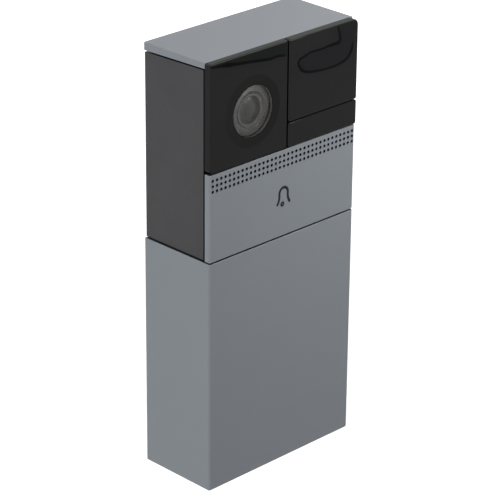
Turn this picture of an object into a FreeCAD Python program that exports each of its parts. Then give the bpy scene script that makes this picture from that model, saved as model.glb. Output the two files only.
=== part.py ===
import FreeCAD, Part
import math
import os

Vec = FreeCAD.Vector

# Video door phone, battery powered, with a wall bracket.
# Millimetres. The origin is the middle of the underside. +Z is up, the front
# faces -Y and +X is the right-hand side seen from the front.

# Battery cells, which set the depth and the height of the lower half
CELL_DIAMETER = 18.4
CELL_LENGTH = 65.2
CELL_SPACE = 0.8
CELL_CAP_RADIUS = 3.2
CELL_CAP_HEIGHT = 0.9

# Walls
WALL = 1.8
COVER_WALL = 1.8
COVER_FLOOR = 2.0
SHELL_FLOOR = 2.2
PARTITION = 1.6
POCKET_DEPTH = 3.0
HOLDER_FLOOR = 1.2
HOLDER_SIDE = 1.4
HOLDER_END = 1.4

# Room and clearances
CELL_GAP = 0.2
CELL_SIDE_GAP = 0.4
HOLDER_GAP = 0.2
BAY_ROOM = 2.0
SPRING_ROOM = 3.6
CONTACT_ROOM = 1.0
FLOOR_GAP = 0.2
COVER_GAP = 0.4
SPLIT_GAP = 0.4
SHADOW_GAP = 1.1
FIT_GAP = 0.3
PEG_GAP = 0.1
THREAD_GAP = 0.05
EASE = 0.3

# How far a cut is drawn past the face that it opens
PAST = 1.0

# Depth, from the proud panels back to the wall
PANEL_STEP = 0.4
DEPTH = (PANEL_STEP + COVER_WALL + BAY_ROOM + CELL_DIAMETER + CELL_GAP
         + HOLDER_FLOOR + WALL + POCKET_DEPTH)
PROUD_Y = -DEPTH / 2
BACK_Y = DEPTH / 2
FRONT_Y = PROUD_Y + PANEL_STEP
PLATE_DEPTH = 2.2
PLATE_BACK_Y = FRONT_Y + PLATE_DEPTH
SHELL_FRONT_Y = PLATE_BACK_Y + SHADOW_GAP
COVER_INNER_Y = FRONT_Y + COVER_WALL
POCKET_Y = BACK_Y - POCKET_DEPTH
BAY_BACK_Y = POCKET_Y - WALL
CELL_Y = COVER_INNER_Y + BAY_ROOM + CELL_DIAMETER / 2

# Width, from the cells out to the cover, with the service strip beside them
STRIP_WIDTH = 6.2
STRIP_GAP = 0.2
SHELL_INSET = 0.6
CELL_X = (CELL_DIAMETER + CELL_SPACE) / 2
HOLDER_INNER_X = CELL_X + CELL_DIAMETER / 2 + CELL_SIDE_GAP
HOLDER_X = HOLDER_INNER_X + HOLDER_SIDE
STRIP_X0 = HOLDER_X + STRIP_GAP
BAY_X = STRIP_X0 + STRIP_WIDTH
LOWER_X = BAY_X + WALL
COVER_INNER_X = LOWER_X + COVER_GAP
HALF = COVER_INNER_X + COVER_WALL
WIDTH = 2 * HALF
SHELL_X = HALF - SHELL_INSET
ROOM_X = SHELL_X - WALL

# Height, built up from the underside
SHELL_BOTTOM_Z = COVER_FLOOR + FLOOR_GAP
BAY_FLOOR_Z = SHELL_BOTTOM_Z + SHELL_FLOOR
HOLDER_Z = BAY_FLOOR_Z + HOLDER_GAP
CELL_Z = HOLDER_Z + HOLDER_END + SPRING_ROOM
HOLDER_TOP_Z = CELL_Z + CELL_LENGTH + CONTACT_ROOM + HOLDER_END
UPPER_Z = HOLDER_TOP_Z + HOLDER_GAP
COVER_TOP_Z = UPPER_Z - SPLIT_GAP
BUTTON_HEIGHT = 28.2
PLATE_GAP = 0.25
CAMERA_PANEL_HEIGHT = 34.15
SENSOR_PANEL_HEIGHT = 7.95
PANEL_GAP = 0.25
BUTTON_TOP_Z = UPPER_Z + BUTTON_HEIGHT
PANEL_Z = BUTTON_TOP_Z + PLATE_GAP
HEIGHT = PANEL_Z + CAMERA_PANEL_HEIGHT
SENSOR_TOP_Z = PANEL_Z + SENSOR_PANEL_HEIGHT
WINDOW_Z = SENSOR_TOP_Z + PANEL_GAP

# Top cap, thicker at the back
CAP_FRONT = 1.7
CAP_REAR = 2.5
CAP_GAP = 0.8
CAP_SEAT_INSET = 1.6
CAP_PEG_RADIUS = 1.5
CAP_PEG_LENGTH = 1.5
CAP_PEG_X = 20.0
CAP_CORNER = 0.6
CAP_EDGE = 0.35
SHELL_TOP_REAR_Z = HEIGHT - CAP_REAR - CAP_GAP
CEILING_Z = SHELL_TOP_REAR_Z - WALL
ROOM_Z = UPPER_Z + PARTITION

# Front plates
EDGE = 0.4
COVER_EDGE = 0.7
COVER_CORNER = 0.5
COVER_RIM_EDGE = 0.3
GROOVE_X = 1.2
GROOVE = 0.2
CAMERA_PANEL_RIGHT = GROOVE_X - GROOVE / 2
RIGHT_PANEL_LEFT = GROOVE_X + GROOVE / 2
CORNER_LARGE = 2.0
CORNER_CAMERA = 1.5
CORNER_SMALL = 0.7
PANEL_WALL = 1.1
PANEL_RIM = 1.6
PANEL_PEG_RADIUS = 0.9
PANEL_PEG_INSET = 5.0
WINDOW_PEG_INSET = 10.0

# Call button plate with its sound holes and bell
BUTTON_WALL = 1.3
BUTTON_RIM = 0.8
BUTTON_DEPTH = 2.1
BUTTON_TRAVEL = 0.4
HOLE_RADIUS = 0.52
HOLE_PITCH = 1.75
HOLE_SIDE_MARGIN = 1.2
HOLE_COLUMNS = int((WIDTH - 2 * HOLE_SIDE_MARGIN) / HOLE_PITCH) + 1
HOLE_ROWS = 3
HOLE_TOP_DROP = 1.95
GUIDE_RADIUS = 1.2
GUIDE_INSET_X = 6.8
GUIDE_INSET_Z = 11.0
CLIP_RADIUS = 1.8
CLIP_THICKNESS = 0.5
CLIP_GAP = 0.05
PUSHER_RADIUS = 2.0
PUSHER_GAP = 0.05
BELL_Z_DROP = 14.9
BELL_LINE = 0.9
BELL_DEPTH = 0.25
BELL_HALF = 2.6
BELL_NECK = 1.8
BELL_HEIGHT = 5.1
BELL_FLARE = 2.2
CLAPPER_RADIUS = 0.85
CLAPPER_HOLE = 0.18
CLAPPER_DROP = 0.25
CLAPPER_X = -0.5
INLAY_GAP = 0.02

# Flat lead with a plug at each end
RIBBON_HALF = 3.0
RIBBON = 0.2
PLUG_HEIGHT = 3.0
PLUG_DEPTH = 1.2
PLUG_MARGIN = 0.5
RIBBON_LEAD = 0.8

# Camera
CAMERA_INSET = 17.7
CAMERA_X = -HALF + CAMERA_INSET
CAMERA_RISE = 15.45
CAMERA_Z = PANEL_Z + CAMERA_RISE
DISH_RADIUS = 10.9
DISH_DEPTH = 0.12
WINDOW_RADIUS = 8.0
WINDOW_THICKNESS = 1.0
WINDOW_GAP = 0.05
BEZEL_SLOPE = 0.7
BEZEL_CREST = 0.15
BEZEL_CHAMFER = 0.45
BARREL_RADIUS = 5.2
BARREL_WALL = 0.8
BARREL_SET_BACK = 0.5
BARREL_LENGTH = 8.4
LENS_RADIUS = 4.3
LENS_SET_BACK = 0.15
LENS_STOP = 0.5
LENS_STOP_RADIUS = 2.2
BEZEL_BORE_GAP = 0.2
BEZEL_PLUG_RADIUS = 6.8
BEZEL_PLUG = 1.2
LENS_HOLDER_HALF = 6.5
LENS_HOLDER_LENGTH = 5.0
SENSOR_HALF = 3.6
SENSOR_THICKNESS = 0.9
CAMERA_BOARD_HALF = 10.0
BOARD = 1.2
CAMERA_BOARD_DEPTH = 8.6
CAMERA_POST_OFFSET = 8.4
CAMERA_POST_RADIUS = 1.5
CAMERA_PLUG_TOP_Z = CAMERA_Z - CAMERA_BOARD_HALF + PLUG_HEIGHT + EASE

# Front chassis, gasket and its screws
CHASSIS = 1.6
CHASSIS_BACK_Y = PLATE_BACK_Y + CHASSIS
CHASSIS_BUTTON_Y = FRONT_Y + BUTTON_DEPTH + BUTTON_TRAVEL + CLIP_GAP
CHASSIS_X = ROOM_X - FIT_GAP
CHASSIS_Z = ROOM_Z + FIT_GAP
CHASSIS_TOP_Z = CEILING_Z - FIT_GAP
GASKET = 0.5
GASKET_WIDTH = 1.4
LEDGE_WIDTH = 2.0
LEDGE = 1.5
LEDGE_Y = CHASSIS_BACK_Y + GASKET
BLOCK_LENGTH = 7.5
BLOCK_HALF = 2.4
CHASSIS_SCREW_INSET_X = 3.7
CHASSIS_SCREW_INSET_Z = 3.8

# Screws
SCREW_RADIUS = 1.0
SCREW_HEAD_RADIUS = 1.8
SCREW_HEAD = 1.1
SCREW_LENGTH = 4.5
HEAD_GAP = 0.2
SCREW_SLOT = 0.5
CHASSIS_SEAT_Y = PLATE_BACK_Y + SCREW_HEAD + CLIP_GAP
SMALL_SCREW_RADIUS = 0.7
SMALL_SCREW_HEAD_RADIUS = 1.3
SMALL_SCREW_HEAD = 0.7
SMALL_SCREW_LENGTH = 3.0

# Sensor board with the night lights and the motion sensor
SENSOR_BOARD_DEPTH = 4.2
SENSOR_BOARD_LEFT_INSET = 4.0
SENSOR_BOARD_LEFT = RIGHT_PANEL_LEFT + SENSOR_BOARD_LEFT_INSET
SENSOR_BOARD_INSET = 2.0
SENSOR_BOARD_HEIGHT = 24.0
SENSOR_BOARD_DROP = 1.2
SENSOR_BOARD_Z = PANEL_Z - SENSOR_BOARD_DROP
LED_RADIUS = 1.5
LED_LENGTH = 5.2
LED_PITCH_X = 6.5
LED_PITCH_Z = 5.2
LED_COLUMNS = 3
LED_ROWS = 2
LED_FIRST_RISE = 3.6
LED_HOLE_GAP = 0.3
LIGHT_SENSOR_RADIUS = 1.1
LIGHT_SENSOR_LENGTH = 4.6
PANEL_MID_X = (RIGHT_PANEL_LEFT + HALF) / 2
MOTION_RADIUS = 4.1
MOTION_FLANGE = 4.6
MOTION_LENGTH = 4.0
SENSOR_POST_RADIUS = 1.5
SENSOR_POST_INSET = 2.0

# Main board
MAIN_POST = 3.4
MAIN_POST_RADIUS = 2.3
MAIN_BOARD_INSET_X = 2.6
MAIN_BOARD_INSET_Z = 2.6
MAIN_POST_INSET = 3.0
MAIN_BACK_Y = BAY_BACK_Y - MAIN_POST
MAIN_FRONT_Y = MAIN_BACK_Y - BOARD
MAIN_X = ROOM_X - MAIN_BOARD_INSET_X
MAIN_Z = ROOM_Z + MAIN_BOARD_INSET_Z
MAIN_TOP_Z = CEILING_Z - MAIN_BOARD_INSET_Z

# Chips on the main board. Each is (x, rise above the board's lower edge, width, height, thickness).
CHIPS = [(9.0, 34.0, 13.0, 13.0, 1.3), (-2.5, 38.0, 8.0, 9.0, 1.0), (14.0, 14.0, 6.0, 6.0, 1.0),
         (17.0, 21.0, 5.0, 4.0, 1.6), (-19.0, 12.0, 5.0, 7.0, 2.0)]
CAN_X = -6.0
CAN_RISE = 11.0
CAN_WIDTH = 17.0
CAN_HEIGHT = 14.0
CAN_DEPTH = 2.4
CAN_WALL = 0.3
ANTENNA = 0.5
ANTENNA_HALF = 4.0
ANTENNA_DROP = 10.35
ANTENNA_LENGTH = 35.0

# Speaker and microphone
SPEAKER_RISE = 14.6
SPEAKER_RADIUS = 7.8
SPEAKER_SIDE_GAP = 0.4
SPEAKER_X = HALF - GUIDE_INSET_X - CLIP_RADIUS - SPEAKER_SIDE_GAP - SPEAKER_RADIUS
SPEAKER_RIM = 1.2
SPEAKER_FRAME = 2.5
SPEAKER_BACK_PLATE = 0.6
SPEAKER_SEAT = 0.6
CONE_THICKNESS = 0.3
CONE_DEPTH = 0.9
CONE_CAP_RADIUS = 2.6
MAGNET_RADIUS = 4.8
MAGNET_LENGTH = 2.8
SPEAKER_GASKET = 0.5
SPEAKER_GASKET_WIDTH = 1.6
SPEAKER_Y = CHASSIS_BACK_Y + SPEAKER_GASKET
SPEAKER_END_Y = SPEAKER_Y + SPEAKER_FRAME
CONE_SEAT_Y = SPEAKER_Y + SPEAKER_GASKET
SPEAKER_PORTS = 8
SPEAKER_PORT_RADIUS = 1.1
SPEAKER_PORT_CIRCLE = 4.2
MIC_INSET = 8.5
MIC_X = -HALF + MIC_INSET
MIC_DROP = 4.2
MIC_RADIUS = 3.0
MIC_LENGTH = 2.2
MIC_PORT_RADIUS = 0.7
BOOT_WALL = 0.9

# Call switch on its own small board
SWITCH_HALF = 3.0
SWITCH_HEIGHT = 3.4
PLUNGER_RADIUS = 1.6
PLUNGER_OUT = 0.8
PLUNGER_SINK = 0.6
SWITCH_GAP = 0.05
SWITCH_BOARD_LEFT = 13.0
SWITCH_BOARD_RIGHT = 3.6
SWITCH_BOARD_HALF_HEIGHT = 7.0
SWITCH_POST_RADIUS = 1.5
SWITCH_POST_X = -10.8
SWITCH_POST_Z = 4.6

# Service strip beside the cells: charging socket and reset
STRIP_PANEL = 1.0
STRIP_HEIGHT = 27.0
STRIP_PANEL_SET_BACK = 1.0
STRIP_BOARD = 1.0
STRIP_BOARD_DEPTH = 6.2
STRIP_LEDGE_WIDTH = 2.2
USB_LENGTH = 7.5
USB_WIDTH = 2.6
USB_HEIGHT = 5.9
USB_SHELL = 0.3
USB_DROP = 17.5
SLOT_GAP = 0.15
RESET_DROP = 6.5
RESET_RADIUS = 1.45
RESET_FLANGE_RADIUS = 2.0
RESET_FLANGE = 0.6
RESET_TRAVEL = 0.3
RESET_PROUD = 0.3
RESET_SWITCH_HALF = 1.9
RESET_SWITCH_HEIGHT = 1.6
RESET_PLUNGER_RADIUS = 0.9
RESET_PLUNGER_OUT = 0.5
RESET_PLUNGER_SINK = 0.4

# Rails that guide the lower cover
RAIL = 1.2
RAIL_WIDTH = 2.0
RAIL_Y = 5.0
RAIL_START_Z = 6.0
RAIL_TOP_DROP = 4.0
RAIL_BACKING = 1.1

# Captive cover screw in the space between the cells
COVER_SCREW_Y = 6.5
COVER_SCREW_RADIUS = 1.5
COVER_SCREW_HEAD_RADIUS = 2.75
COVER_SCREW_HEAD = 1.2
COVER_SCREW_SINK = 0.1
COVER_SCREW_HOLE_GAP = 0.2
COVER_SCREW_LENGTH = 7.0
INSERT_RADIUS = 2.2
INSERT_LENGTH = 4.0
BOSS_RADIUS = 2.9
BOSS_CAP = 0.5
HEX_KEY = 1.0

# Contacts of the cells: a sprung bridge below, and tails that run up to the main board
CELL_ROUND = 0.8
STRIP_METAL = 0.3
BRIDGE_OVERHANG = 3.5
BRIDGE_FRONT = 3.0
BRIDGE_BACK = 2.5
LEAF_HALF = 4.5
LEAF_TOE = 1.0
CONTACT_GAP = 0.05
CONTACT_RADIUS = 2.0
TAIL = 0.3
TAIL_HALF = 1.6
TAIL_RISE = 3.0
TAIL_SLOT_GAP = 0.2

# Wall bracket
BRACKET = 1.6
BRACKET_X = 23.6
BRACKET_TRAVEL = 7.0
BRACKET_LOW_Z = 17.4
BRACKET_HIGH_DROP = 14.4
POCKET_X = BRACKET_X + EASE + PEG_GAP
POCKET_Z = BRACKET_LOW_Z - BRACKET_TRAVEL - EASE
BRACKET_TOP_Z = HEIGHT - BRACKET_HIGH_DROP
POCKET_TOP_Z = BRACKET_TOP_Z + EASE
TAB = 1.2
TAB_REACH = 1.6
TAB_LENGTH = 8.0
TAB_OFFSET = 34.0
WALL_SCREW_SPACING = 60.0
WALL_SCREW_RADIUS = 2.25
WALL_SCREW_HEAD_RADIUS = 4.3
WALL_SCREW_SINK = 1.0
BRACKET_CORNER = 3.0
BRACKET_MID_Z = (BRACKET_LOW_Z + BRACKET_TOP_Z) / 2


# Helpers

def box(x0, x1, y0, y1, z0, z1):
    return Part.makeBox(x1 - x0, y1 - y0, z1 - z0, Vec(x0, y0, z0))


def rod_y(radius, x, z, y0, y1):
    return Part.makeCylinder(radius, y1 - y0, Vec(x, y0, z), Vec(0, 1, 0))


def rod_z(radius, x, y, z0, z1):
    return Part.makeCylinder(radius, z1 - z0, Vec(x, y, z0), Vec(0, 0, 1))


def ring_y(outer, inner, x, z, y0, y1):
    return rod_y(outer, x, z, y0, y1).cut(rod_y(inner, x, z, y0 - PAST, y1 + PAST))


def cone_y(radius0, radius1, x, z, y0, y1):
    return Part.makeCone(radius0, radius1, y1 - y0, Vec(x, y0, z), Vec(0, 1, 0))


def join(pieces):
    result = pieces[0]
    if len(pieces) > 1:
        result = pieces[0].fuse(pieces[1:])
    return result.removeSplitter()


def group(pieces):
    return Part.makeCompound(pieces)


def edges_where(solid, test):
    found = []
    for edge in solid.Edges:
        if test(edge.BoundBox):
            found.append(edge)
    return found


def near(a, b):
    return abs(a - b) < 1e-4


def along_y_at(solid, x, z):
    return edges_where(solid, lambda b: near(b.XLength, 0) and near(b.ZLength, 0)
                       and near(b.XMin, x) and near(b.ZMin, z))


def on_plane_y(solid, y):
    return edges_where(solid, lambda b: near(b.YLength, 0) and near(b.YMin, y))


def upright_at(solid, x, y):
    return edges_where(solid, lambda b: near(b.XLength, 0) and near(b.YLength, 0)
                       and near(b.XMin, x) and near(b.YMin, y))


def profile_x(points, x0, x1):
    # A flat outline given as (y, z) points, pulled along X.
    corners = [Vec(x0, y, z) for y, z in points]
    outline = Part.makePolygon(corners + [corners[0]])
    return Part.Face(outline).extrude(Vec(x1 - x0, 0, 0))


def turned_y(points, x, z):
    # A profile given as (radius, y) points, turned about an axis along Y.
    corners = [Vec(x + r, y, z) for r, y in points]
    outline = Part.makePolygon(corners + [corners[0]])
    return Part.Face(outline).revolve(Vec(x, 0, z), Vec(0, 1, 0), 360)


def strip_face(wire, thickness):
    # A line thickened to both sides, with round ends.
    return Part.Face(wire.makeOffset2D(thickness / 2, 0, False, False, False))


def screw_y(x, z, seat_y, length, radius, head_radius, head):
    # A pan-head screw that is driven from the front, towards +Y.
    shank = rod_y(radius, x, z, seat_y, seat_y + length)
    cap = rod_y(head_radius, x, z, seat_y - head, seat_y)
    slot = box(x - head_radius, x + head_radius, seat_y - head, seat_y - head / 2,
               z - radius * SCREW_SLOT / 2, z + radius * SCREW_SLOT / 2)
    return join([cap, shank]).cut(slot)


def cap_underside(y):
    # The cap is thin over the front plates and thicker at the wall.
    share = (y - PLATE_BACK_Y) / (BACK_Y - PLATE_BACK_Y)
    return HEIGHT - CAP_FRONT - share * (CAP_REAR - CAP_FRONT)


# Places that several pieces share

def mirrored(x, heights):
    return [(side * x, z) for side in (-1, 1) for z in heights]


CHASSIS_SCREWS = mirrored(ROOM_X - CHASSIS_SCREW_INSET_X,
                          (ROOM_Z + CHASSIS_SCREW_INSET_Z, CEILING_Z - CHASSIS_SCREW_INSET_Z))
MAIN_SCREWS = mirrored(MAIN_X - MAIN_POST_INSET,
                       (MAIN_Z + MAIN_POST_INSET, MAIN_TOP_Z - MAIN_POST_INSET))
GUIDES = mirrored(HALF - GUIDE_INSET_X, (UPPER_Z + GUIDE_INSET_Z, BUTTON_TOP_Z - GUIDE_INSET_Z))
CAMERA_SCREWS = [(CAMERA_X + CAMERA_POST_OFFSET, CAMERA_Z + CAMERA_POST_OFFSET),
                 (CAMERA_X - CAMERA_POST_OFFSET, CAMERA_Z - CAMERA_POST_OFFSET)]
SENSOR_RIGHT = ROOM_X - SENSOR_BOARD_INSET
SENSOR_BOARD_TOP = SENSOR_BOARD_Z + SENSOR_BOARD_HEIGHT
SENSOR_SCREWS = [(SENSOR_BOARD_LEFT + SENSOR_POST_INSET, SENSOR_BOARD_Z + SENSOR_POST_INSET),
                 (SENSOR_RIGHT - SENSOR_POST_INSET, SENSOR_BOARD_TOP - SENSOR_POST_INSET)]
LED_Z = WINDOW_Z + LED_FIRST_RISE
LED_FIRST_X = PANEL_MID_X - LED_PITCH_X * (LED_COLUMNS - 1) / 2
LEDS = [(LED_FIRST_X + column * LED_PITCH_X, LED_Z + row * LED_PITCH_Z)
        for column in range(LED_COLUMNS) for row in range(LED_ROWS)]
LIGHT_SENSOR = (LED_FIRST_X + LED_PITCH_X / 2, LED_Z + LED_PITCH_Z / 2)
MOTION_Z = PANEL_Z + SENSOR_PANEL_HEIGHT / 2
SPEAKER_Z = UPPER_Z + SPEAKER_RISE
MIC_Z = BUTTON_TOP_Z - MIC_DROP
SWITCH_Z = BUTTON_TOP_Z - BELL_Z_DROP
SWITCH_SCREWS = [(SWITCH_POST_X, SWITCH_Z - SWITCH_POST_Z), (SWITCH_POST_X, SWITCH_Z + SWITCH_POST_Z)]
BRACKET_TAB_Z = [BRACKET_MID_Z - TAB_OFFSET, BRACKET_MID_Z + TAB_OFFSET]
BOSS_TOP_Z = COVER_SCREW_HEAD + COVER_SCREW_SINK + COVER_SCREW_LENGTH + BOSS_CAP + COVER_SCREW_HOLE_GAP
COVER_SCREW_AT = CELL_Y + COVER_SCREW_Y

# The call switch stands behind the bell. Its plunger meets the pusher of the plate.
SWITCH_Y = CHASSIS_BACK_Y + SWITCH_GAP
PLUNGER_Y = SWITCH_Y - PLUNGER_OUT
PUSHER_END_Y = PLUNGER_Y - PUSHER_GAP
SWITCH_BOARD_Y = SWITCH_Y + SWITCH_HEIGHT

# The camera stack, from the window back to the board
WINDOW_Y = FRONT_Y + DISH_DEPTH
BEZEL_Y = WINDOW_Y + WINDOW_THICKNESS
BARREL_Y = BEZEL_Y + BARREL_SET_BACK
CAMERA_BOARD_Y = CHASSIS_BACK_Y + CAMERA_BOARD_DEPTH
LENS_HOLDER_Y = CAMERA_BOARD_Y - LENS_HOLDER_LENGTH
SENSOR_BOARD_Y = CHASSIS_BACK_Y + SENSOR_BOARD_DEPTH

# The service strip, between the cell holder and the right-hand wall of the bay
STRIP_Z0 = UPPER_Z - STRIP_HEIGHT
STRIP_Y = COVER_INNER_Y + STRIP_PANEL_SET_BACK
STRIP_BOARD_Y = STRIP_Y + STRIP_BOARD_DEPTH
STRIP_X = (STRIP_X0 + BAY_X) / 2
USB_Z = UPPER_Z - USB_DROP
RESET_Z = UPPER_Z - RESET_DROP
RESET_SWITCH_Y = STRIP_BOARD_Y - RESET_SWITCH_HEIGHT
RESET_PLUNGER_Y = RESET_SWITCH_Y - RESET_PLUNGER_OUT



# Casing

def rear_housing():
    lower = box(-LOWER_X, LOWER_X, COVER_INNER_Y + COVER_GAP, BACK_Y, SHELL_BOTTOM_Z, COVER_TOP_Z)
    neck = box(-LOWER_X, LOWER_X, SHELL_FRONT_Y, BACK_Y, COVER_TOP_Z - WALL, ROOM_Z)
    side = [(SHELL_FRONT_Y, UPPER_Z), (SHELL_FRONT_Y, cap_underside(SHELL_FRONT_Y) - CAP_GAP),
            (BACK_Y, cap_underside(BACK_Y) - CAP_GAP), (BACK_Y, UPPER_Z)]
    upper = profile_x(side, -SHELL_X, SHELL_X)
    front = SHELL_FRONT_Y + CAP_SEAT_INSET
    back = BACK_Y - CAP_SEAT_INSET
    seat = profile_x([(front, CEILING_Z), (front, cap_underside(front)),
                      (back, cap_underside(back)), (back, CEILING_Z)],
                     -SHELL_X + CAP_SEAT_INSET, SHELL_X - CAP_SEAT_INSET)
    shell = join([lower, neck, upper, seat])
    bay = box(-BAY_X, BAY_X, PROUD_Y, BAY_BACK_Y, BAY_FLOOR_Z, UPPER_Z)
    room = box(-ROOM_X, ROOM_X, PROUD_Y, BAY_BACK_Y, ROOM_Z, CEILING_Z)
    shell = shell.cut([bay, room, bracket_pocket()] + rail_grooves())
    shell = join([shell] + housing_ribs())
    return shell.cut(housing_holes())


def bracket_pocket():
    pocket = box(-POCKET_X, POCKET_X, POCKET_Y, BACK_Y + PAST, POCKET_Z, POCKET_TOP_Z)
    channel_x = POCKET_X + TAB_REACH + EASE
    channels = []
    for z in BRACKET_TAB_Z:
        top = z + TAB_LENGTH / 2 + EASE
        low = z - TAB_LENGTH / 2 - BRACKET_TRAVEL - EASE
        channels.append(box(-channel_x, channel_x, POCKET_Y, POCKET_Y + TAB + EASE, low, top))
        channels.append(box(-channel_x, channel_x, POCKET_Y, BACK_Y + PAST, low,
                            z + TAB_LENGTH / 2 - BRACKET_TRAVEL + EASE))
    return pocket.fuse(channels)


def rail_grooves():
    grooves = []
    top = COVER_TOP_Z - RAIL_TOP_DROP + EASE
    for side in (-1, 1):
        inner = side * (COVER_INNER_X - RAIL - EASE)
        outer = side * (LOWER_X + PAST)
        grooves.append(box(min(inner, outer), max(inner, outer), RAIL_Y - RAIL_WIDTH / 2 - EASE,
                           RAIL_Y + RAIL_WIDTH / 2 + EASE, SHELL_BOTTOM_Z - PAST, top))
    return grooves


def housing_ribs():
    ribs = []
    for side in (-1, 1):
        inner = side * (BAY_X - RAIL_BACKING)
        outer = side * BAY_X
        half = RAIL_WIDTH / 2 + EASE + RAIL_BACKING
        ribs.append(box(min(inner, outer), max(inner, outer), RAIL_Y - half, RAIL_Y + half,
                        BAY_FLOOR_Z, UPPER_Z))
    ledge = box(-ROOM_X, ROOM_X, LEDGE_Y, LEDGE_Y + LEDGE, ROOM_Z, CEILING_Z)
    ribs.append(ledge.cut(box(-ROOM_X + LEDGE_WIDTH, ROOM_X - LEDGE_WIDTH, LEDGE_Y - PAST,
                              LEDGE_Y + LEDGE + PAST, ROOM_Z + LEDGE_WIDTH, CEILING_Z - LEDGE_WIDTH)))
    for x, z in CHASSIS_SCREWS:
        wall = math.copysign(ROOM_X, x)
        inner = x - math.copysign(BLOCK_HALF, x)
        ribs.append(box(min(inner, wall), max(inner, wall), LEDGE_Y, LEDGE_Y + BLOCK_LENGTH,
                        z - BLOCK_HALF, z + BLOCK_HALF))
    for x, z in MAIN_SCREWS:
        ribs.append(rod_y(MAIN_POST_RADIUS, x, z, MAIN_BACK_Y, BAY_BACK_Y))
    ribs.append(rod_z(BOSS_RADIUS, 0, COVER_SCREW_AT, BAY_FLOOR_Z, BOSS_TOP_Z))
    ribs.append(box(STRIP_X0, BAY_X, STRIP_Y, STRIP_Y + STRIP_PANEL, STRIP_Z0, UPPER_Z))
    ribs.append(box(BAY_X - STRIP_LEDGE_WIDTH, BAY_X, STRIP_BOARD_Y + STRIP_BOARD,
                    STRIP_BOARD_Y + STRIP_BOARD + STRIP_PANEL, STRIP_Z0, UPPER_Z))
    return ribs


def housing_holes():
    holes = []
    for x, z in CHASSIS_SCREWS:
        holes.append(rod_y(SCREW_RADIUS + THREAD_GAP, x, z, LEDGE_Y - PAST, LEDGE_Y + SCREW_LENGTH))
    for x, z in MAIN_SCREWS:
        depth = SMALL_SCREW_LENGTH - BOARD + EASE
        holes.append(rod_y(SMALL_SCREW_RADIUS + THREAD_GAP, x, z, MAIN_BACK_Y, MAIN_BACK_Y + depth))
    for side in (-1, 1):
        holes.append(rod_z(CAP_PEG_RADIUS + PEG_GAP, side * CAP_PEG_X, 0, CEILING_Z - PAST, HEIGHT))
    holes.append(rod_z(INSERT_RADIUS, 0, COVER_SCREW_AT, SHELL_BOTTOM_Z - PAST,
                       SHELL_BOTTOM_Z + INSERT_LENGTH))
    holes.append(rod_z(COVER_SCREW_RADIUS + COVER_SCREW_HOLE_GAP, 0, COVER_SCREW_AT,
                       SHELL_BOTTOM_Z, BOSS_TOP_Z - BOSS_CAP))
    half = USB_LENGTH / 2 + SLOT_GAP
    holes.append(box(STRIP_X - USB_WIDTH / 2 - SLOT_GAP, STRIP_X + USB_WIDTH / 2 + SLOT_GAP,
                     STRIP_Y - PAST, STRIP_Y + STRIP_PANEL + PAST, USB_Z - half, USB_Z + half))
    holes.append(rod_y(RESET_RADIUS + PEG_GAP, STRIP_X, RESET_Z, STRIP_Y - PAST,
                       STRIP_Y + STRIP_PANEL + PAST))
    for side in (-1, 1):
        holes.append(tail_slot(side * CELL_X, HOLDER_TOP_Z, ROOM_Z + PAST))
    return holes


def tail_slot(x, z0, z1):
    half = TAIL_HALF + TAIL_SLOT_GAP
    return box(x - half, x + half, MAIN_FRONT_Y - TAIL - TAIL_SLOT_GAP,
               MAIN_FRONT_Y + TAIL_SLOT_GAP, z0, z1)


def top_cap():
    side = [(PLATE_BACK_Y, cap_underside(PLATE_BACK_Y)), (PLATE_BACK_Y, HEIGHT),
            (BACK_Y, HEIGHT), (BACK_Y, cap_underside(BACK_Y))]
    cap = profile_x(side, -HALF, HALF)
    corners = upright_at(cap, -HALF, BACK_Y) + upright_at(cap, HALF, BACK_Y)
    cap = cap.makeFillet(CAP_CORNER, corners)
    rim = edges_where(cap, lambda b: near(b.ZLength, 0) and near(b.ZMax, HEIGHT)
                      and b.YMax > PLATE_BACK_Y + EDGE)
    cap = cap.makeFillet(CAP_EDGE, rim)
    pegs = []
    for peg_side in (-1, 1):
        pegs.append(rod_z(CAP_PEG_RADIUS, peg_side * CAP_PEG_X, 0,
                          cap_underside(0) - CAP_PEG_LENGTH, HEIGHT - CAP_FRONT / 2))
    return join([cap] + pegs)


def lower_cover():
    cover = box(-HALF, HALF, FRONT_Y, BACK_Y, 0, COVER_TOP_Z)
    cover = cover.makeFillet(COVER_EDGE, upright_at(cover, -HALF, FRONT_Y)
                             + upright_at(cover, HALF, FRONT_Y))
    cover = cover.makeFillet(COVER_CORNER, edges_where(
        cover, lambda b: near(b.ZLength, 0) and near(b.ZMin, 0) and b.YMin < BACK_Y - EDGE))
    cover = cover.makeFillet(COVER_RIM_EDGE, edges_where(
        cover, lambda b: near(b.ZLength, 0) and near(b.ZMin, COVER_TOP_Z) and b.YMin < BACK_Y - EDGE))
    cover = cover.cut(box(-COVER_INNER_X, COVER_INNER_X, COVER_INNER_Y, BACK_Y + PAST,
                          COVER_FLOOR, COVER_TOP_Z + PAST))
    rails = []
    for side in (-1, 1):
        inner = side * (COVER_INNER_X - RAIL)
        outer = side * (COVER_INNER_X + COVER_WALL / 2)
        rails.append(box(min(inner, outer), max(inner, outer), RAIL_Y - RAIL_WIDTH / 2,
                         RAIL_Y + RAIL_WIDTH / 2, RAIL_START_Z, COVER_TOP_Z - RAIL_TOP_DROP))
    cover = join([cover] + rails)
    seat = COVER_SCREW_SINK + COVER_SCREW_HEAD
    return cover.cut([rod_z(COVER_SCREW_HEAD_RADIUS + COVER_SCREW_HOLE_GAP, 0, COVER_SCREW_AT, -PAST, seat),
                      rod_z(COVER_SCREW_RADIUS + COVER_SCREW_HOLE_GAP, 0, COVER_SCREW_AT, 0,
                            COVER_FLOOR + PAST)])


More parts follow.
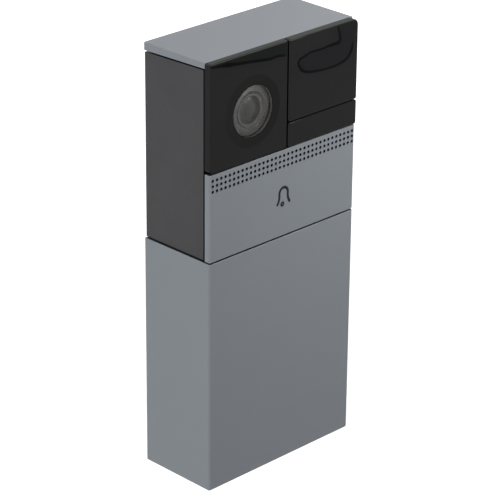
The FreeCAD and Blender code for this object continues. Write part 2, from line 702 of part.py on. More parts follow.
def cover_screw():
    seat = COVER_SCREW_SINK + COVER_SCREW_HEAD
    head = rod_z(COVER_SCREW_HEAD_RADIUS, 0, COVER_SCREW_AT, COVER_SCREW_SINK, seat)
    shank = rod_z(COVER_SCREW_RADIUS, 0, COVER_SCREW_AT, seat, seat + COVER_SCREW_LENGTH)
    corners = [Vec(HEX_KEY * math.cos(math.radians(60 * i)),
                   COVER_SCREW_AT + HEX_KEY * math.sin(math.radians(60 * i)), 0) for i in range(6)]
    key = Part.Face(Part.makePolygon(corners + [corners[0]])).extrude(Vec(0, 0, seat))
    return join([head, shank]).cut(key)


def screw_insert():
    body = rod_z(INSERT_RADIUS, 0, COVER_SCREW_AT, SHELL_BOTTOM_Z, SHELL_BOTTOM_Z + INSERT_LENGTH)
    return body.cut(rod_z(COVER_SCREW_RADIUS + THREAD_GAP, 0, COVER_SCREW_AT, 0, BOSS_TOP_Z))


# Front chassis behind the plates

def front_chassis():
    upper = box(-CHASSIS_X, CHASSIS_X, PLATE_BACK_Y, CHASSIS_BACK_Y, PANEL_Z, CHASSIS_TOP_Z)
    lower = box(-CHASSIS_X, CHASSIS_X, CHASSIS_BUTTON_Y, CHASSIS_BACK_Y, CHASSIS_Z, PANEL_Z)
    pieces = [upper, lower]
    for x, z in CHASSIS_SCREWS:
        pieces.append(rod_y(SCREW_HEAD_RADIUS, x, z, CHASSIS_BACK_Y - SCREW_HEAD / 2, LEDGE_Y))
    for x, z in CAMERA_SCREWS:
        pieces.append(rod_y(CAMERA_POST_RADIUS, x, z, CHASSIS_BACK_Y - CHASSIS / 2, CAMERA_BOARD_Y))
    for x, z in SENSOR_SCREWS:
        pieces.append(rod_y(SENSOR_POST_RADIUS, x, z, CHASSIS_BACK_Y - CHASSIS / 2, SENSOR_BOARD_Y))
    for x, z in SWITCH_SCREWS:
        pieces.append(rod_y(SWITCH_POST_RADIUS, x, z, CHASSIS_BACK_Y - EASE, SWITCH_BOARD_Y))
    return join(pieces).cut(chassis_holes())


def chassis_holes():
    front = PROUD_Y
    holes = [rod_y(BEZEL_PLUG_RADIUS + PEG_GAP, CAMERA_X, CAMERA_Z, front, LEDGE_Y)]
    for x, z in CHASSIS_SCREWS:
        holes.append(rod_y(SCREW_HEAD_RADIUS + HEAD_GAP, x, z, front, CHASSIS_SEAT_Y))
        holes.append(rod_y(SCREW_RADIUS + HEAD_GAP, x, z, front, LEDGE_Y + PAST))
    for x, z in CAMERA_SCREWS:
        holes.append(post_hole(x, z, CAMERA_BOARD_Y))
    for x, z in SENSOR_SCREWS:
        holes.append(post_hole(x, z, SENSOR_BOARD_Y))
    for x, z in SWITCH_SCREWS:
        holes.append(post_hole(x, z, SWITCH_BOARD_Y))
    for x, z in GUIDES:
        holes.append(rod_y(GUIDE_RADIUS + PEG_GAP, x, z, front, LEDGE_Y))
    for x, z in panel_pegs():
        holes.append(rod_y(PANEL_PEG_RADIUS + PEG_GAP, x, z, front, LEDGE_Y))
    for x, z in LEDS:
        holes.append(rod_y(LED_RADIUS + LED_HOLE_GAP, x, z, front, LEDGE_Y))
    holes.append(rod_y(LIGHT_SENSOR_RADIUS + LED_HOLE_GAP, *LIGHT_SENSOR, front, LEDGE_Y))
    holes.append(rod_y(MOTION_RADIUS - LED_HOLE_GAP, PANEL_MID_X, MOTION_Z, front, LEDGE_Y))
    holes.append(rod_y(PUSHER_RADIUS + LED_HOLE_GAP, 0, SWITCH_Z, front, LEDGE_Y))
    holes.append(rod_y(MIC_PORT_RADIUS, MIC_X, MIC_Z, front, LEDGE_Y))
    for i in range(SPEAKER_PORTS):
        turn = 2 * math.pi * (i + 0.5) / SPEAKER_PORTS
        holes.append(rod_y(SPEAKER_PORT_RADIUS, SPEAKER_X + SPEAKER_PORT_CIRCLE * math.cos(turn),
                           SPEAKER_Z + SPEAKER_PORT_CIRCLE * math.sin(turn), front, LEDGE_Y))
    return holes


def post_hole(x, z, end_y):
    depth = SMALL_SCREW_LENGTH - BOARD + EASE
    return rod_y(SMALL_SCREW_RADIUS + THREAD_GAP, x, z, end_y - depth, end_y + PAST)


def panel_pegs():
    camera = [(x, z) for x in (-HALF + WINDOW_PEG_INSET, CAMERA_PANEL_RIGHT - PANEL_PEG_INSET / 2)
              for z in (PANEL_Z + PANEL_PEG_INSET / 2, CHASSIS_TOP_Z - PANEL_PEG_INSET / 2)]
    return camera + window_pegs() + sensor_pegs()


def camera_pegs():
    return [peg for peg in panel_pegs() if peg[0] < GROOVE_X]


def window_pegs():
    return [(x, z) for x in (RIGHT_PANEL_LEFT + PANEL_PEG_INSET / 2, HALF - WINDOW_PEG_INSET)
            for z in (CHASSIS_TOP_Z - PANEL_PEG_INSET / 2,)]


def sensor_pegs():
    return [(x, MOTION_Z) for x in (RIGHT_PANEL_LEFT + PANEL_PEG_INSET / 2, HALF - PANEL_PEG_INSET)]


def chassis_gasket():
    outer = box(-CHASSIS_X, CHASSIS_X, CHASSIS_BACK_Y, LEDGE_Y, CHASSIS_Z, CHASSIS_TOP_Z)
    return outer.cut(box(-CHASSIS_X + GASKET_WIDTH, CHASSIS_X - GASKET_WIDTH, PROUD_Y, 0,
                         CHASSIS_Z + GASKET_WIDTH, CHASSIS_TOP_Z - GASKET_WIDTH))


def chassis_screws():
    return group([screw_y(x, z, CHASSIS_SEAT_Y, SCREW_LENGTH - EASE, SCREW_RADIUS,
                          SCREW_HEAD_RADIUS, SCREW_HEAD)
                  for x, z in CHASSIS_SCREWS])


# Front plates

def plate(x0, x1, front_y, z0, z1, corners):
    # corners gives the radius of each corner: (left, low), (right, low), (right, high), (left, high)
    solid = box(x0, x1, front_y, PLATE_BACK_Y, z0, z1)
    places = [(x0, z0), (x1, z0), (x1, z1), (x0, z1)]
    for (x, z), radius in zip(places, corners):
        if radius > 0:
            solid = solid.makeFillet(radius, along_y_at(solid, x, z))
    return solid.makeFillet(EDGE, on_plane_y(solid, front_y))


def camera_fascia():
    solid = plate(-HALF, CAMERA_PANEL_RIGHT, FRONT_Y, PANEL_Z, HEIGHT,
                  (CORNER_CAMERA, CORNER_SMALL, CORNER_SMALL, CORNER_SMALL))
    bore = WINDOW_RADIUS + WINDOW_GAP
    dish = cone_y(DISH_RADIUS, bore, CAMERA_X, CAMERA_Z, FRONT_Y, WINDOW_Y)
    solid = solid.cut([dish, rod_y(bore, CAMERA_X, CAMERA_Z, FRONT_Y, PLATE_BACK_Y + PAST)])
    return join([solid] + pegs(camera_pegs(), PLATE_BACK_Y))


def pegs(places, root_y):
    return [rod_y(PANEL_PEG_RADIUS, x, z, root_y - PANEL_WALL / 2, CHASSIS_BACK_Y) for x, z in places]


def infrared_window():
    solid = plate(RIGHT_PANEL_LEFT, HALF, PROUD_Y, WINDOW_Z, HEIGHT,
                  (CORNER_SMALL, CORNER_SMALL, CORNER_LARGE, CORNER_SMALL))
    pocket = box(RIGHT_PANEL_LEFT + PANEL_RIM, HALF - PANEL_RIM - PANEL_PEG_INSET,
                 PROUD_Y + PANEL_WALL, PLATE_BACK_Y + PAST, WINDOW_Z + PANEL_RIM / 2,
                 CHASSIS_TOP_Z - PANEL_PEG_INSET)
    return join([solid.cut(pocket)] + pegs(window_pegs(), PLATE_BACK_Y))


def motion_sensor_lens():
    solid = plate(RIGHT_PANEL_LEFT, HALF, PROUD_Y, PANEL_Z, SENSOR_TOP_Z,
                  (CORNER_SMALL, CORNER_SMALL, CORNER_SMALL, CORNER_SMALL))
    reach = SENSOR_PANEL_HEIGHT / 2 - PANEL_RIM / 2
    pocket = box(PANEL_MID_X - 2 * reach, PANEL_MID_X + 2 * reach, PROUD_Y + PANEL_WALL,
                 PLATE_BACK_Y + PAST, MOTION_Z - reach, MOTION_Z + reach)
    return join([solid.cut(pocket)] + pegs(sensor_pegs(), PLATE_BACK_Y))


def call_button():
    rim_y = FRONT_Y + BUTTON_DEPTH
    solid = box(-HALF, HALF, FRONT_Y, rim_y, UPPER_Z, BUTTON_TOP_Z)
    solid = solid.makeFillet(COVER_EDGE, upright_at(solid, -HALF, FRONT_Y)
                             + upright_at(solid, HALF, FRONT_Y))
    across = edges_where(solid, lambda b: near(b.ZLength, 0) and near(b.YMin, FRONT_Y)
                         and b.XLength > HALF)
    solid = solid.makeFillet(COVER_RIM_EDGE, across)
    hollow = box(-HALF + BUTTON_RIM, HALF - BUTTON_RIM, FRONT_Y + BUTTON_WALL, rim_y + PAST,
                 UPPER_Z + BUTTON_RIM, BUTTON_TOP_Z - BUTTON_RIM)
    solid = solid.cut(hollow)
    root_y = FRONT_Y + BUTTON_WALL - BELL_DEPTH
    legs = [rod_y(GUIDE_RADIUS, x, z, root_y, CHASSIS_BACK_Y + CLIP_GAP + CLIP_THICKNESS)
            for x, z in GUIDES]
    legs.append(rod_y(PUSHER_RADIUS, 0, SWITCH_Z, root_y, PUSHER_END_Y))
    solid = join([solid] + legs)
    return solid.cut(sound_holes() + [bell_shape(INLAY_GAP, FRONT_Y - PAST, FRONT_Y + BELL_DEPTH)])


def sound_holes():
    holes = []
    left = -(HOLE_COLUMNS - 1) * HOLE_PITCH / 2
    for column in range(HOLE_COLUMNS):
        for row in range(HOLE_ROWS):
            holes.append(rod_y(HOLE_RADIUS, left + column * HOLE_PITCH,
                               BUTTON_TOP_Z - HOLE_TOP_DROP - row * HOLE_PITCH,
                               FRONT_Y - PAST, FRONT_Y + BUTTON_WALL + PAST))
    return holes


def bell_shape(extra, y0, y1):
    # An arch with flared feet and a small ring below, as on many bell pushes.
    foot_z = SWITCH_Z - BELL_HEIGHT / 2
    neck_z = foot_z + BELL_FLARE
    crown_z = foot_z + BELL_HEIGHT
    spring_z = crown_z - BELL_NECK
    bend = BELL_NECK + (BELL_HALF - BELL_NECK) / 4
    middle_z = foot_z + BELL_FLARE / 2
    left_foot = Part.Arc(Vec(-BELL_HALF, y0, foot_z), Vec(-bend, y0, middle_z),
                         Vec(-BELL_NECK, y0, neck_z))
    left_side = Part.LineSegment(Vec(-BELL_NECK, y0, neck_z), Vec(-BELL_NECK, y0, spring_z))
    crown = Part.Arc(Vec(-BELL_NECK, y0, spring_z), Vec(0, y0, crown_z), Vec(BELL_NECK, y0, spring_z))
    right_side = Part.LineSegment(Vec(BELL_NECK, y0, spring_z), Vec(BELL_NECK, y0, neck_z))
    right_foot = Part.Arc(Vec(BELL_NECK, y0, neck_z), Vec(bend, y0, middle_z),
                          Vec(BELL_HALF, y0, foot_z))
    line = Part.Wire([left_foot.toShape(), left_side.toShape(), crown.toShape(),
                      right_side.toShape(), right_foot.toShape()])
    arch = strip_face(line, BELL_LINE + 2 * extra).extrude(Vec(0, y1 - y0, 0))
    ring = ring_y(CLAPPER_RADIUS + extra, CLAPPER_HOLE - extra, CLAPPER_X, foot_z - CLAPPER_DROP, y0, y1)
    return group([arch, ring])


def bell_icon():
    return bell_shape(0, FRONT_Y + INLAY_GAP, FRONT_Y + BELL_DEPTH)


def button_clips():
    y0 = CHASSIS_BACK_Y + CLIP_GAP
    return group([ring_y(CLIP_RADIUS, GUIDE_RADIUS + INLAY_GAP, x, z, y0, y0 + CLIP_THICKNESS)
                  for x, z in GUIDES])


# Camera

def lens_window():
    return rod_y(WINDOW_RADIUS, CAMERA_X, CAMERA_Z, WINDOW_Y, BEZEL_Y)


def camera_bezel():
    # A ring that slopes up to a crest under the window and has a chamfer round the barrel.
    bore = BARREL_RADIUS + BEZEL_BORE_GAP
    back_y = PLATE_BACK_Y + BEZEL_PLUG
    crest = bore + BEZEL_CHAMFER
    return turned_y([(WINDOW_RADIUS, BEZEL_Y + BEZEL_SLOPE), (WINDOW_RADIUS, PLATE_BACK_Y),
                     (BEZEL_PLUG_RADIUS, PLATE_BACK_Y), (BEZEL_PLUG_RADIUS, back_y), (bore, back_y),
                     (bore, BEZEL_Y + BEZEL_CHAMFER), (crest, BEZEL_Y), (crest + BEZEL_CREST, BEZEL_Y)],
                    CAMERA_X, CAMERA_Z)


def lens_barrel():
    # A tube with a stop behind the front lens and a lip behind the rear one.
    inner = BARREL_RADIUS - BARREL_WALL
    end_y = BARREL_Y + BARREL_LENGTH
    lip = inner - BARREL_WALL
    step_y = BARREL_Y + BARREL_WALL * 2
    stop_y = step_y + LENS_STOP
    seat = LENS_RADIUS + PEG_GAP / 2
    return turned_y([(BARREL_RADIUS, BARREL_Y), (BARREL_RADIUS, end_y), (lip, end_y),
                     (lip, end_y - BARREL_WALL), (inner, end_y - BARREL_WALL), (inner, stop_y),
                     (LENS_STOP_RADIUS, stop_y), (LENS_STOP_RADIUS, step_y), (seat, step_y),
                     (seat, BARREL_Y)],
                    CAMERA_X, CAMERA_Z)


def lens_elements():
    seat_y = BARREL_Y + BARREL_WALL * 2
    front = dome(LENS_RADIUS, BARREL_Y + LENS_SET_BACK, seat_y)
    inner = BARREL_RADIUS - BARREL_WALL - PEG_GAP / 2
    end_y = BARREL_Y + BARREL_LENGTH - BARREL_WALL
    middle = rod_y(inner, CAMERA_X, CAMERA_Z, (seat_y + end_y) / 2 - BARREL_WALL, (seat_y + end_y) / 2)
    rear = rod_y(inner, CAMERA_X, CAMERA_Z, end_y - BARREL_WALL, end_y)
    return group([front, middle, rear])


def dome(radius, crown_y, base_y):
    # A lens with a rounded front: a disc whose face is part of a sphere.
    rise = base_y - crown_y - BARREL_WALL / 2
    sphere_radius = (radius * radius + rise * rise) / (2 * rise)
    ball = Part.makeSphere(sphere_radius, Vec(CAMERA_X, crown_y + sphere_radius, CAMERA_Z))
    return rod_y(radius, CAMERA_X, CAMERA_Z, crown_y, base_y).common(ball)


def lens_holder():
    solid = box(CAMERA_X - LENS_HOLDER_HALF, CAMERA_X + LENS_HOLDER_HALF, LENS_HOLDER_Y,
                CAMERA_BOARD_Y, CAMERA_Z - LENS_HOLDER_HALF, CAMERA_Z + LENS_HOLDER_HALF)
    bore = rod_y(BARREL_RADIUS + THREAD_GAP, CAMERA_X, CAMERA_Z, LENS_HOLDER_Y - PAST, CAMERA_BOARD_Y)
    room = box(CAMERA_X - SENSOR_HALF - EASE, CAMERA_X + SENSOR_HALF + EASE, LENS_HOLDER_Y,
               CAMERA_BOARD_Y + PAST, CAMERA_Z - SENSOR_HALF - EASE, CAMERA_Z + SENSOR_HALF + EASE)
    return solid.cut([bore, room])


def image_sensor():
    return box(CAMERA_X - SENSOR_HALF, CAMERA_X + SENSOR_HALF, CAMERA_BOARD_Y - SENSOR_THICKNESS,
               CAMERA_BOARD_Y, CAMERA_Z - SENSOR_HALF, CAMERA_Z + SENSOR_HALF)


def board(x0, x1, z0, z1, front_y, screws):
    solid = box(x0, x1, front_y, front_y + BOARD, z0, z1)
    return solid.cut([rod_y(SMALL_SCREW_RADIUS + PEG_GAP, x, z, front_y - PAST, front_y + BOARD + PAST)
                      for x, z in screws])


def board_screws():
    # The small screws, all alike, that hold the boards on their posts. Each is driven from the side that the
    # posts don't reach: towards the wall on the main board, towards the front on the others.
    screws = []
    for places, seat, towards_wall in ((MAIN_SCREWS, MAIN_FRONT_Y, True),
                                       (CAMERA_SCREWS, CAMERA_BOARD_Y + BOARD, False),
                                       (SENSOR_SCREWS, SENSOR_BOARD_Y + BOARD, False),
                                       (SWITCH_SCREWS, SWITCH_BOARD_Y + BOARD, False)):
        for x, z in places:
            screw = screw_y(x, z, 0, SMALL_SCREW_LENGTH, SMALL_SCREW_RADIUS, SMALL_SCREW_HEAD_RADIUS,
                            SMALL_SCREW_HEAD)
            if not towards_wall:
                screw.rotate(Vec(x, 0, z), Vec(0, 0, 1), 180)
            screws.append(screw.translated(Vec(0, seat, 0)))
    return group(screws)


def camera_board():
    half = CAMERA_BOARD_HALF
    return board(CAMERA_X - half, CAMERA_X + half, CAMERA_Z - half, CAMERA_Z + half,
                 CAMERA_BOARD_Y, CAMERA_SCREWS)


def camera_ribbon():
    # The flat lead bends from the camera board back to the main board, between two plugs.
    start_y = CAMERA_BOARD_Y + BOARD + PLUG_DEPTH / 2
    end_y = MAIN_FRONT_Y - PLUG_DEPTH / 2
    bend = (end_y - start_y) / 2
    start_z = CAMERA_PLUG_TOP_Z - PLUG_HEIGHT
    turn_z = start_z - RIBBON_LEAD
    corner = bend * math.sin(math.radians(45))
    first = Part.LineSegment(Vec(CAMERA_X, start_y, start_z - RIBBON / 2), Vec(CAMERA_X, start_y, turn_z))
    arc_down = Part.Arc(Vec(CAMERA_X, start_y, turn_z),
                        Vec(CAMERA_X, start_y + bend - corner, turn_z - corner),
                        Vec(CAMERA_X, start_y + bend, turn_z - bend))
    arc_level = Part.Arc(Vec(CAMERA_X, start_y + bend, turn_z - bend),
                         Vec(CAMERA_X, start_y + bend + corner, turn_z - 2 * bend + corner),
                         Vec(CAMERA_X, end_y, turn_z - 2 * bend))
    last_z = turn_z - 2 * bend - RIBBON_LEAD
    last = Part.LineSegment(Vec(CAMERA_X, end_y, turn_z - 2 * bend), Vec(CAMERA_X, end_y, last_z))
    wire = Part.Wire([first.toShape(), arc_down.toShape(), arc_level.toShape(), last.toShape()])
    ribbon = strip_face(wire, RIBBON).extrude(Vec(2 * (RIBBON_HALF - PLUG_MARGIN), 0, 0))
    ribbon = ribbon.translated(Vec(PLUG_MARGIN - RIBBON_HALF, 0, 0))
    upper = box(CAMERA_X - RIBBON_HALF, CAMERA_X + RIBBON_HALF, CAMERA_BOARD_Y + BOARD,
                CAMERA_BOARD_Y + BOARD + PLUG_DEPTH, start_z - RIBBON, CAMERA_PLUG_TOP_Z)
    lower = box(CAMERA_X - RIBBON_HALF, CAMERA_X + RIBBON_HALF, MAIN_FRONT_Y - PLUG_DEPTH,
                MAIN_FRONT_Y, last_z - PLUG_HEIGHT, last_z)
    return join([upper, ribbon, lower])


# Sensors and night lights

def sensor_board():
    return board(SENSOR_BOARD_LEFT, SENSOR_RIGHT, SENSOR_BOARD_Z, SENSOR_BOARD_TOP,
                 SENSOR_BOARD_Y, SENSOR_SCREWS)


def bullet(radius, length, x, z):
    # A round-nosed diode that stands on the sensor board and looks forward.
    nose_y = SENSOR_BOARD_Y - length + radius
    nose = Part.makeSphere(radius, Vec(x, nose_y, z))
    return join([nose, rod_y(radius, x, z, nose_y, SENSOR_BOARD_Y)])


def infrared_leds():
    return group([bullet(LED_RADIUS, LED_LENGTH, x, z) for x, z in LEDS])


def light_sensor():
    return bullet(LIGHT_SENSOR_RADIUS, LIGHT_SENSOR_LENGTH, *LIGHT_SENSOR)


def motion_sensor():
    can = rod_y(MOTION_RADIUS, PANEL_MID_X, MOTION_Z, SENSOR_BOARD_Y - MOTION_LENGTH, SENSOR_BOARD_Y)
    flange = rod_y(MOTION_FLANGE, PANEL_MID_X, MOTION_Z, SENSOR_BOARD_Y - CLIP_THICKNESS, SENSOR_BOARD_Y)
    return join([can, flange])


# Main board

def main_board():
    return board(-MAIN_X, MAIN_X, MAIN_Z, MAIN_TOP_Z, MAIN_FRONT_Y, MAIN_SCREWS)


def main_board_chips():
    return group([box(x - width / 2, x + width / 2, MAIN_FRONT_Y - thickness, MAIN_FRONT_Y,
                      MAIN_Z + rise - height / 2, MAIN_Z + rise + height / 2)
                  for x, rise, width, height, thickness in CHIPS])


def shield_can():
    low = MAIN_Z + CAN_RISE - CAN_HEIGHT / 2
    outer = box(CAN_X - CAN_WIDTH / 2, CAN_X + CAN_WIDTH / 2, MAIN_FRONT_Y - CAN_DEPTH, MAIN_FRONT_Y,
                low, low + CAN_HEIGHT)
    inner = box(CAN_X - CAN_WIDTH / 2 + CAN_WALL, CAN_X + CAN_WIDTH / 2 - CAN_WALL,
                MAIN_FRONT_Y - CAN_DEPTH + CAN_WALL, MAIN_FRONT_Y + PAST,
                low + CAN_WALL, low + CAN_HEIGHT - CAN_WALL)
    return outer.cut(inner)


def wifi_antenna():
    top_z = CEILING_Z - ANTENNA_DROP
    return box(ROOM_X - ANTENNA, ROOM_X, -ANTENNA_HALF, ANTENNA_HALF, top_z - ANTENNA_LENGTH, top_z)


# Speaker and microphone

def speaker_gasket():
    return ring_y(SPEAKER_RADIUS, SPEAKER_RADIUS - SPEAKER_GASKET_WIDTH, SPEAKER_X, SPEAKER_Z,
                  CHASSIS_BACK_Y, SPEAKER_Y)


def speaker_frame():
    inner = SPEAKER_RADIUS - SPEAKER_RIM
    return turned_y([(SPEAKER_RADIUS, SPEAKER_Y), (SPEAKER_RADIUS, SPEAKER_END_Y),
                     (MAGNET_RADIUS / 2, SPEAKER_END_Y),
                     (MAGNET_RADIUS / 2, SPEAKER_END_Y - SPEAKER_BACK_PLATE),
                     (inner - SPEAKER_SEAT, SPEAKER_END_Y - SPEAKER_BACK_PLATE),
                     (inner - SPEAKER_SEAT, CONE_SEAT_Y), (inner, CONE_SEAT_Y), (inner, SPEAKER_Y)],
                    SPEAKER_X, SPEAKER_Z)


def speaker_cone():
    outer = SPEAKER_RADIUS - SPEAKER_RIM - PEG_GAP
    deep_y = CONE_SEAT_Y + CONE_DEPTH
    return turned_y([(outer, CONE_SEAT_Y - CONE_THICKNESS), (outer, CONE_SEAT_Y),
                     (outer - SPEAKER_SEAT * 2, CONE_SEAT_Y), (CONE_CAP_RADIUS, deep_y), (0, deep_y),
                     (0, deep_y - CONE_THICKNESS), (CONE_CAP_RADIUS, deep_y - CONE_THICKNESS),
                     (outer - SPEAKER_SEAT * 2, CONE_SEAT_Y - CONE_THICKNESS)],
                    SPEAKER_X, SPEAKER_Z)


def speaker_magnet():
    return rod_y(MAGNET_RADIUS, SPEAKER_X, SPEAKER_Z, SPEAKER_END_Y, SPEAKER_END_Y + MAGNET_LENGTH)


def microphone():
    front_y = CHASSIS_BACK_Y + EASE
    return rod_y(MIC_RADIUS, MIC_X, MIC_Z, front_y, front_y + MIC_LENGTH)


def microphone_boot():
    front_y = CHASSIS_BACK_Y + EASE
    boot = rod_y(MIC_RADIUS + BOOT_WALL, MIC_X, MIC_Z, CHASSIS_BACK_Y, front_y + MIC_LENGTH + EASE)
    return boot.cut([rod_y(MIC_RADIUS + THREAD_GAP, MIC_X, MIC_Z, front_y, 0),
                     rod_y(MIC_PORT_RADIUS, MIC_X, MIC_Z, PROUD_Y, 0)])


# Call switch

def switch_board():
    return board(-SWITCH_BOARD_LEFT, SWITCH_BOARD_RIGHT, SWITCH_Z - SWITCH_BOARD_HALF_HEIGHT,
                 SWITCH_Z + SWITCH_BOARD_HALF_HEIGHT, SWITCH_BOARD_Y, SWITCH_SCREWS)


def call_switch():
    body = box(-SWITCH_HALF, SWITCH_HALF, SWITCH_Y, SWITCH_BOARD_Y,
               SWITCH_Z - SWITCH_HALF, SWITCH_Z + SWITCH_HALF)
    depth = PLUNGER_SINK + BUTTON_TRAVEL + PEG_GAP
    return body.cut(rod_y(PLUNGER_RADIUS + PEG_GAP / 2, 0, SWITCH_Z, SWITCH_Y - PAST, SWITCH_Y + depth))


def switch_plunger():
    return rod_y(PLUNGER_RADIUS, 0, SWITCH_Z, PLUNGER_Y, SWITCH_Y + PLUNGER_SINK)


# Service strip

def service_board():
    return box(STRIP_X0 + PEG_GAP, BAY_X - PEG_GAP, STRIP_BOARD_Y, STRIP_BOARD_Y + STRIP_BOARD,
               STRIP_Z0 + EASE, UPPER_Z - EASE)


def usb_socket():
    half = USB_LENGTH / 2
    front_y = STRIP_BOARD_Y - USB_HEIGHT
    shell = box(STRIP_X - USB_WIDTH / 2, STRIP_X + USB_WIDTH / 2, front_y, STRIP_BOARD_Y,
                USB_Z - half, USB_Z + half)
    mouth = box(STRIP_X - USB_WIDTH / 2 + USB_SHELL, STRIP_X + USB_WIDTH / 2 - USB_SHELL,
                front_y - PAST, STRIP_BOARD_Y - USB_SHELL * 3, USB_Z - half + USB_SHELL,
                USB_Z + half - USB_SHELL)
    tongue = box(STRIP_X - USB_SHELL, STRIP_X + USB_SHELL, front_y + USB_SHELL * 2,
                 STRIP_BOARD_Y - USB_SHELL, USB_Z - half / 2, USB_Z + half / 2)
    return join([shell.cut(mouth), tongue])


def reset_switch():
    body = box(STRIP_X - RESET_SWITCH_HALF, STRIP_X + RESET_SWITCH_HALF, RESET_SWITCH_Y,
               STRIP_BOARD_Y, RESET_Z - RESET_SWITCH_HALF, RESET_Z + RESET_SWITCH_HALF)
    depth = RESET_PLUNGER_SINK + RESET_TRAVEL + PEG_GAP
    return body.cut(rod_y(RESET_PLUNGER_RADIUS + PEG_GAP / 2, STRIP_X, RESET_Z,
                          RESET_SWITCH_Y - PAST, RESET_SWITCH_Y + depth))


def reset_plunger():
    return rod_y(RESET_PLUNGER_RADIUS, STRIP_X, RESET_Z, RESET_PLUNGER_Y,
                 RESET_SWITCH_Y + RESET_PLUNGER_SINK)


def reset_button():
    cap = rod_y(RESET_RADIUS, STRIP_X, RESET_Z, STRIP_Y - RESET_PROUD, RESET_PLUNGER_Y - PUSHER_GAP)
    flange_y = STRIP_Y + STRIP_PANEL + CLIP_GAP
    flange = rod_y(RESET_FLANGE_RADIUS, STRIP_X, RESET_Z, flange_y, flange_y + RESET_FLANGE)
    return join([cap, flange])


# Battery

def battery_holder():
    front_y = CELL_Y - CELL_DIAMETER / 2 + CELL_SIDE_GAP
    pieces = [box(-HOLDER_X, HOLDER_X, BAY_BACK_Y - HOLDER_FLOOR, BAY_BACK_Y, HOLDER_Z, HOLDER_TOP_Z)]
    for z in (HOLDER_Z, HOLDER_TOP_Z - HOLDER_END):
        pieces.append(box(-HOLDER_X, HOLDER_X, front_y, BAY_BACK_Y, z, z + HOLDER_END))
    for x in (-HOLDER_X, HOLDER_INNER_X):
        pieces.append(box(x, x + HOLDER_SIDE, CELL_Y, BAY_BACK_Y, HOLDER_Z, HOLDER_TOP_Z))
    notch = rod_z(BOSS_RADIUS + FIT_GAP, 0, COVER_SCREW_AT, HOLDER_Z - PAST, BOSS_TOP_Z + FIT_GAP)
    slots = [tail_slot(side * CELL_X, HOLDER_TOP_Z - HOLDER_END - PAST, HOLDER_TOP_Z + PAST)
             for side in (-1, 1)]
    return join(pieces).cut([notch] + slots)


def battery_cells():
    cells = []
    for side in (-1, 1):
        x = side * CELL_X
        low = CELL_Z if side > 0 else CELL_Z + CELL_CAP_HEIGHT
        can = rod_z(CELL_DIAMETER / 2, x, CELL_Y, low, low + CELL_LENGTH - CELL_CAP_HEIGHT)
        can = can.makeFillet(CELL_ROUND, edges_where(can, lambda b: near(b.ZLength, 0)))
        cap_z = low + CELL_LENGTH - CELL_CAP_HEIGHT if side > 0 else CELL_Z
        cap = rod_z(CELL_CAP_RADIUS, x, CELL_Y, cap_z, cap_z + CELL_CAP_HEIGHT)
        cells.append(join([can, cap]))
    return group(cells)


def battery_bridge():
    # One strip joins the lower ends of both cells, with a sprung leaf under each.
    z0 = HOLDER_Z + HOLDER_END
    reach = CELL_X + BRIDGE_OVERHANG
    y0 = CELL_Y - BRIDGE_FRONT
    pieces = [box(-reach, reach, y0, CELL_Y + BRIDGE_BACK, z0, z0 + STRIP_METAL)]
    for side in (-1, 1):
        x = side * CELL_X
        foot_z = z0 + STRIP_METAL / 2
        top_z = CELL_Z - CONTACT_GAP - STRIP_METAL / 2
        leaf = Part.Arc(Vec(x - LEAF_HALF + LEAF_TOE, y0, foot_z), Vec(x, y0, top_z),
                        Vec(x + LEAF_HALF - LEAF_TOE, y0, foot_z))
        face = strip_face(Part.Wire([leaf.toShape()]), STRIP_METAL)
        pieces.append(face.extrude(Vec(0, BRIDGE_FRONT + BRIDGE_BACK, 0)))
    return join(pieces)


def battery_contacts():
    contacts = []
    top_z = HOLDER_TOP_Z - HOLDER_END
    for side in (-1, 1):
        x = side * CELL_X
        flat = box(x - TAIL_HALF, x + TAIL_HALF, CELL_Y - BRIDGE_FRONT, MAIN_FRONT_Y,
                   top_z - TAIL, top_z)
        knob = rod_z(CONTACT_RADIUS, x, CELL_Y, CELL_Z + CELL_LENGTH + CONTACT_GAP, top_z)
        tail = box(x - TAIL_HALF, x + TAIL_HALF, MAIN_FRONT_Y - TAIL, MAIN_FRONT_Y, top_z - TAIL,
                   MAIN_Z + TAIL_RISE)
        contacts.append(join([flat, knob, tail]))
    return group(contacts)


# Wall bracket

def wall_bracket():
    front_y = BACK_Y - BRACKET
    sheet = box(-BRACKET_X, BRACKET_X, front_y, BACK_Y, BRACKET_LOW_Z, BRACKET_TOP_Z)
    for x in (-BRACKET_X, BRACKET_X):
        for z in (BRACKET_LOW_Z, BRACKET_TOP_Z):
            sheet = sheet.makeFillet(BRACKET_CORNER, along_y_at(sheet, x, z))
    pieces = [sheet]
    tab_y = POCKET_Y + EASE / 2
    for side in (-1, 1):
        for z in BRACKET_TAB_Z:
            inner = side * (BRACKET_X - 2 * TAB_REACH)
            outer = side * (BRACKET_X + TAB_REACH)
            low = z - TAB_LENGTH / 2
            pieces.append(box(min(inner, outer), max(inner, outer), tab_y, tab_y + TAB,
                              low, low + TAB_LENGTH))
            edge = side * BRACKET_X
            pieces.append(box(min(inner, edge), max(inner, edge), tab_y, front_y + TAB / 2,
                              low, low + TAB_LENGTH))
    holes = []
    for z in (BRACKET_MID_Z - WALL_SCREW_SPACING / 2, BRACKET_MID_Z + WALL_SCREW_SPACING / 2):
        holes.append(rod_y(WALL_SCREW_RADIUS, 0, z, front_y - PAST, BACK_Y + PAST))
        holes.append(cone_y(WALL_SCREW_HEAD_RADIUS, WALL_SCREW_RADIUS, 0, z, front_y,
                            front_y + WALL_SCREW_SINK))
    return join(pieces).cut(holes)


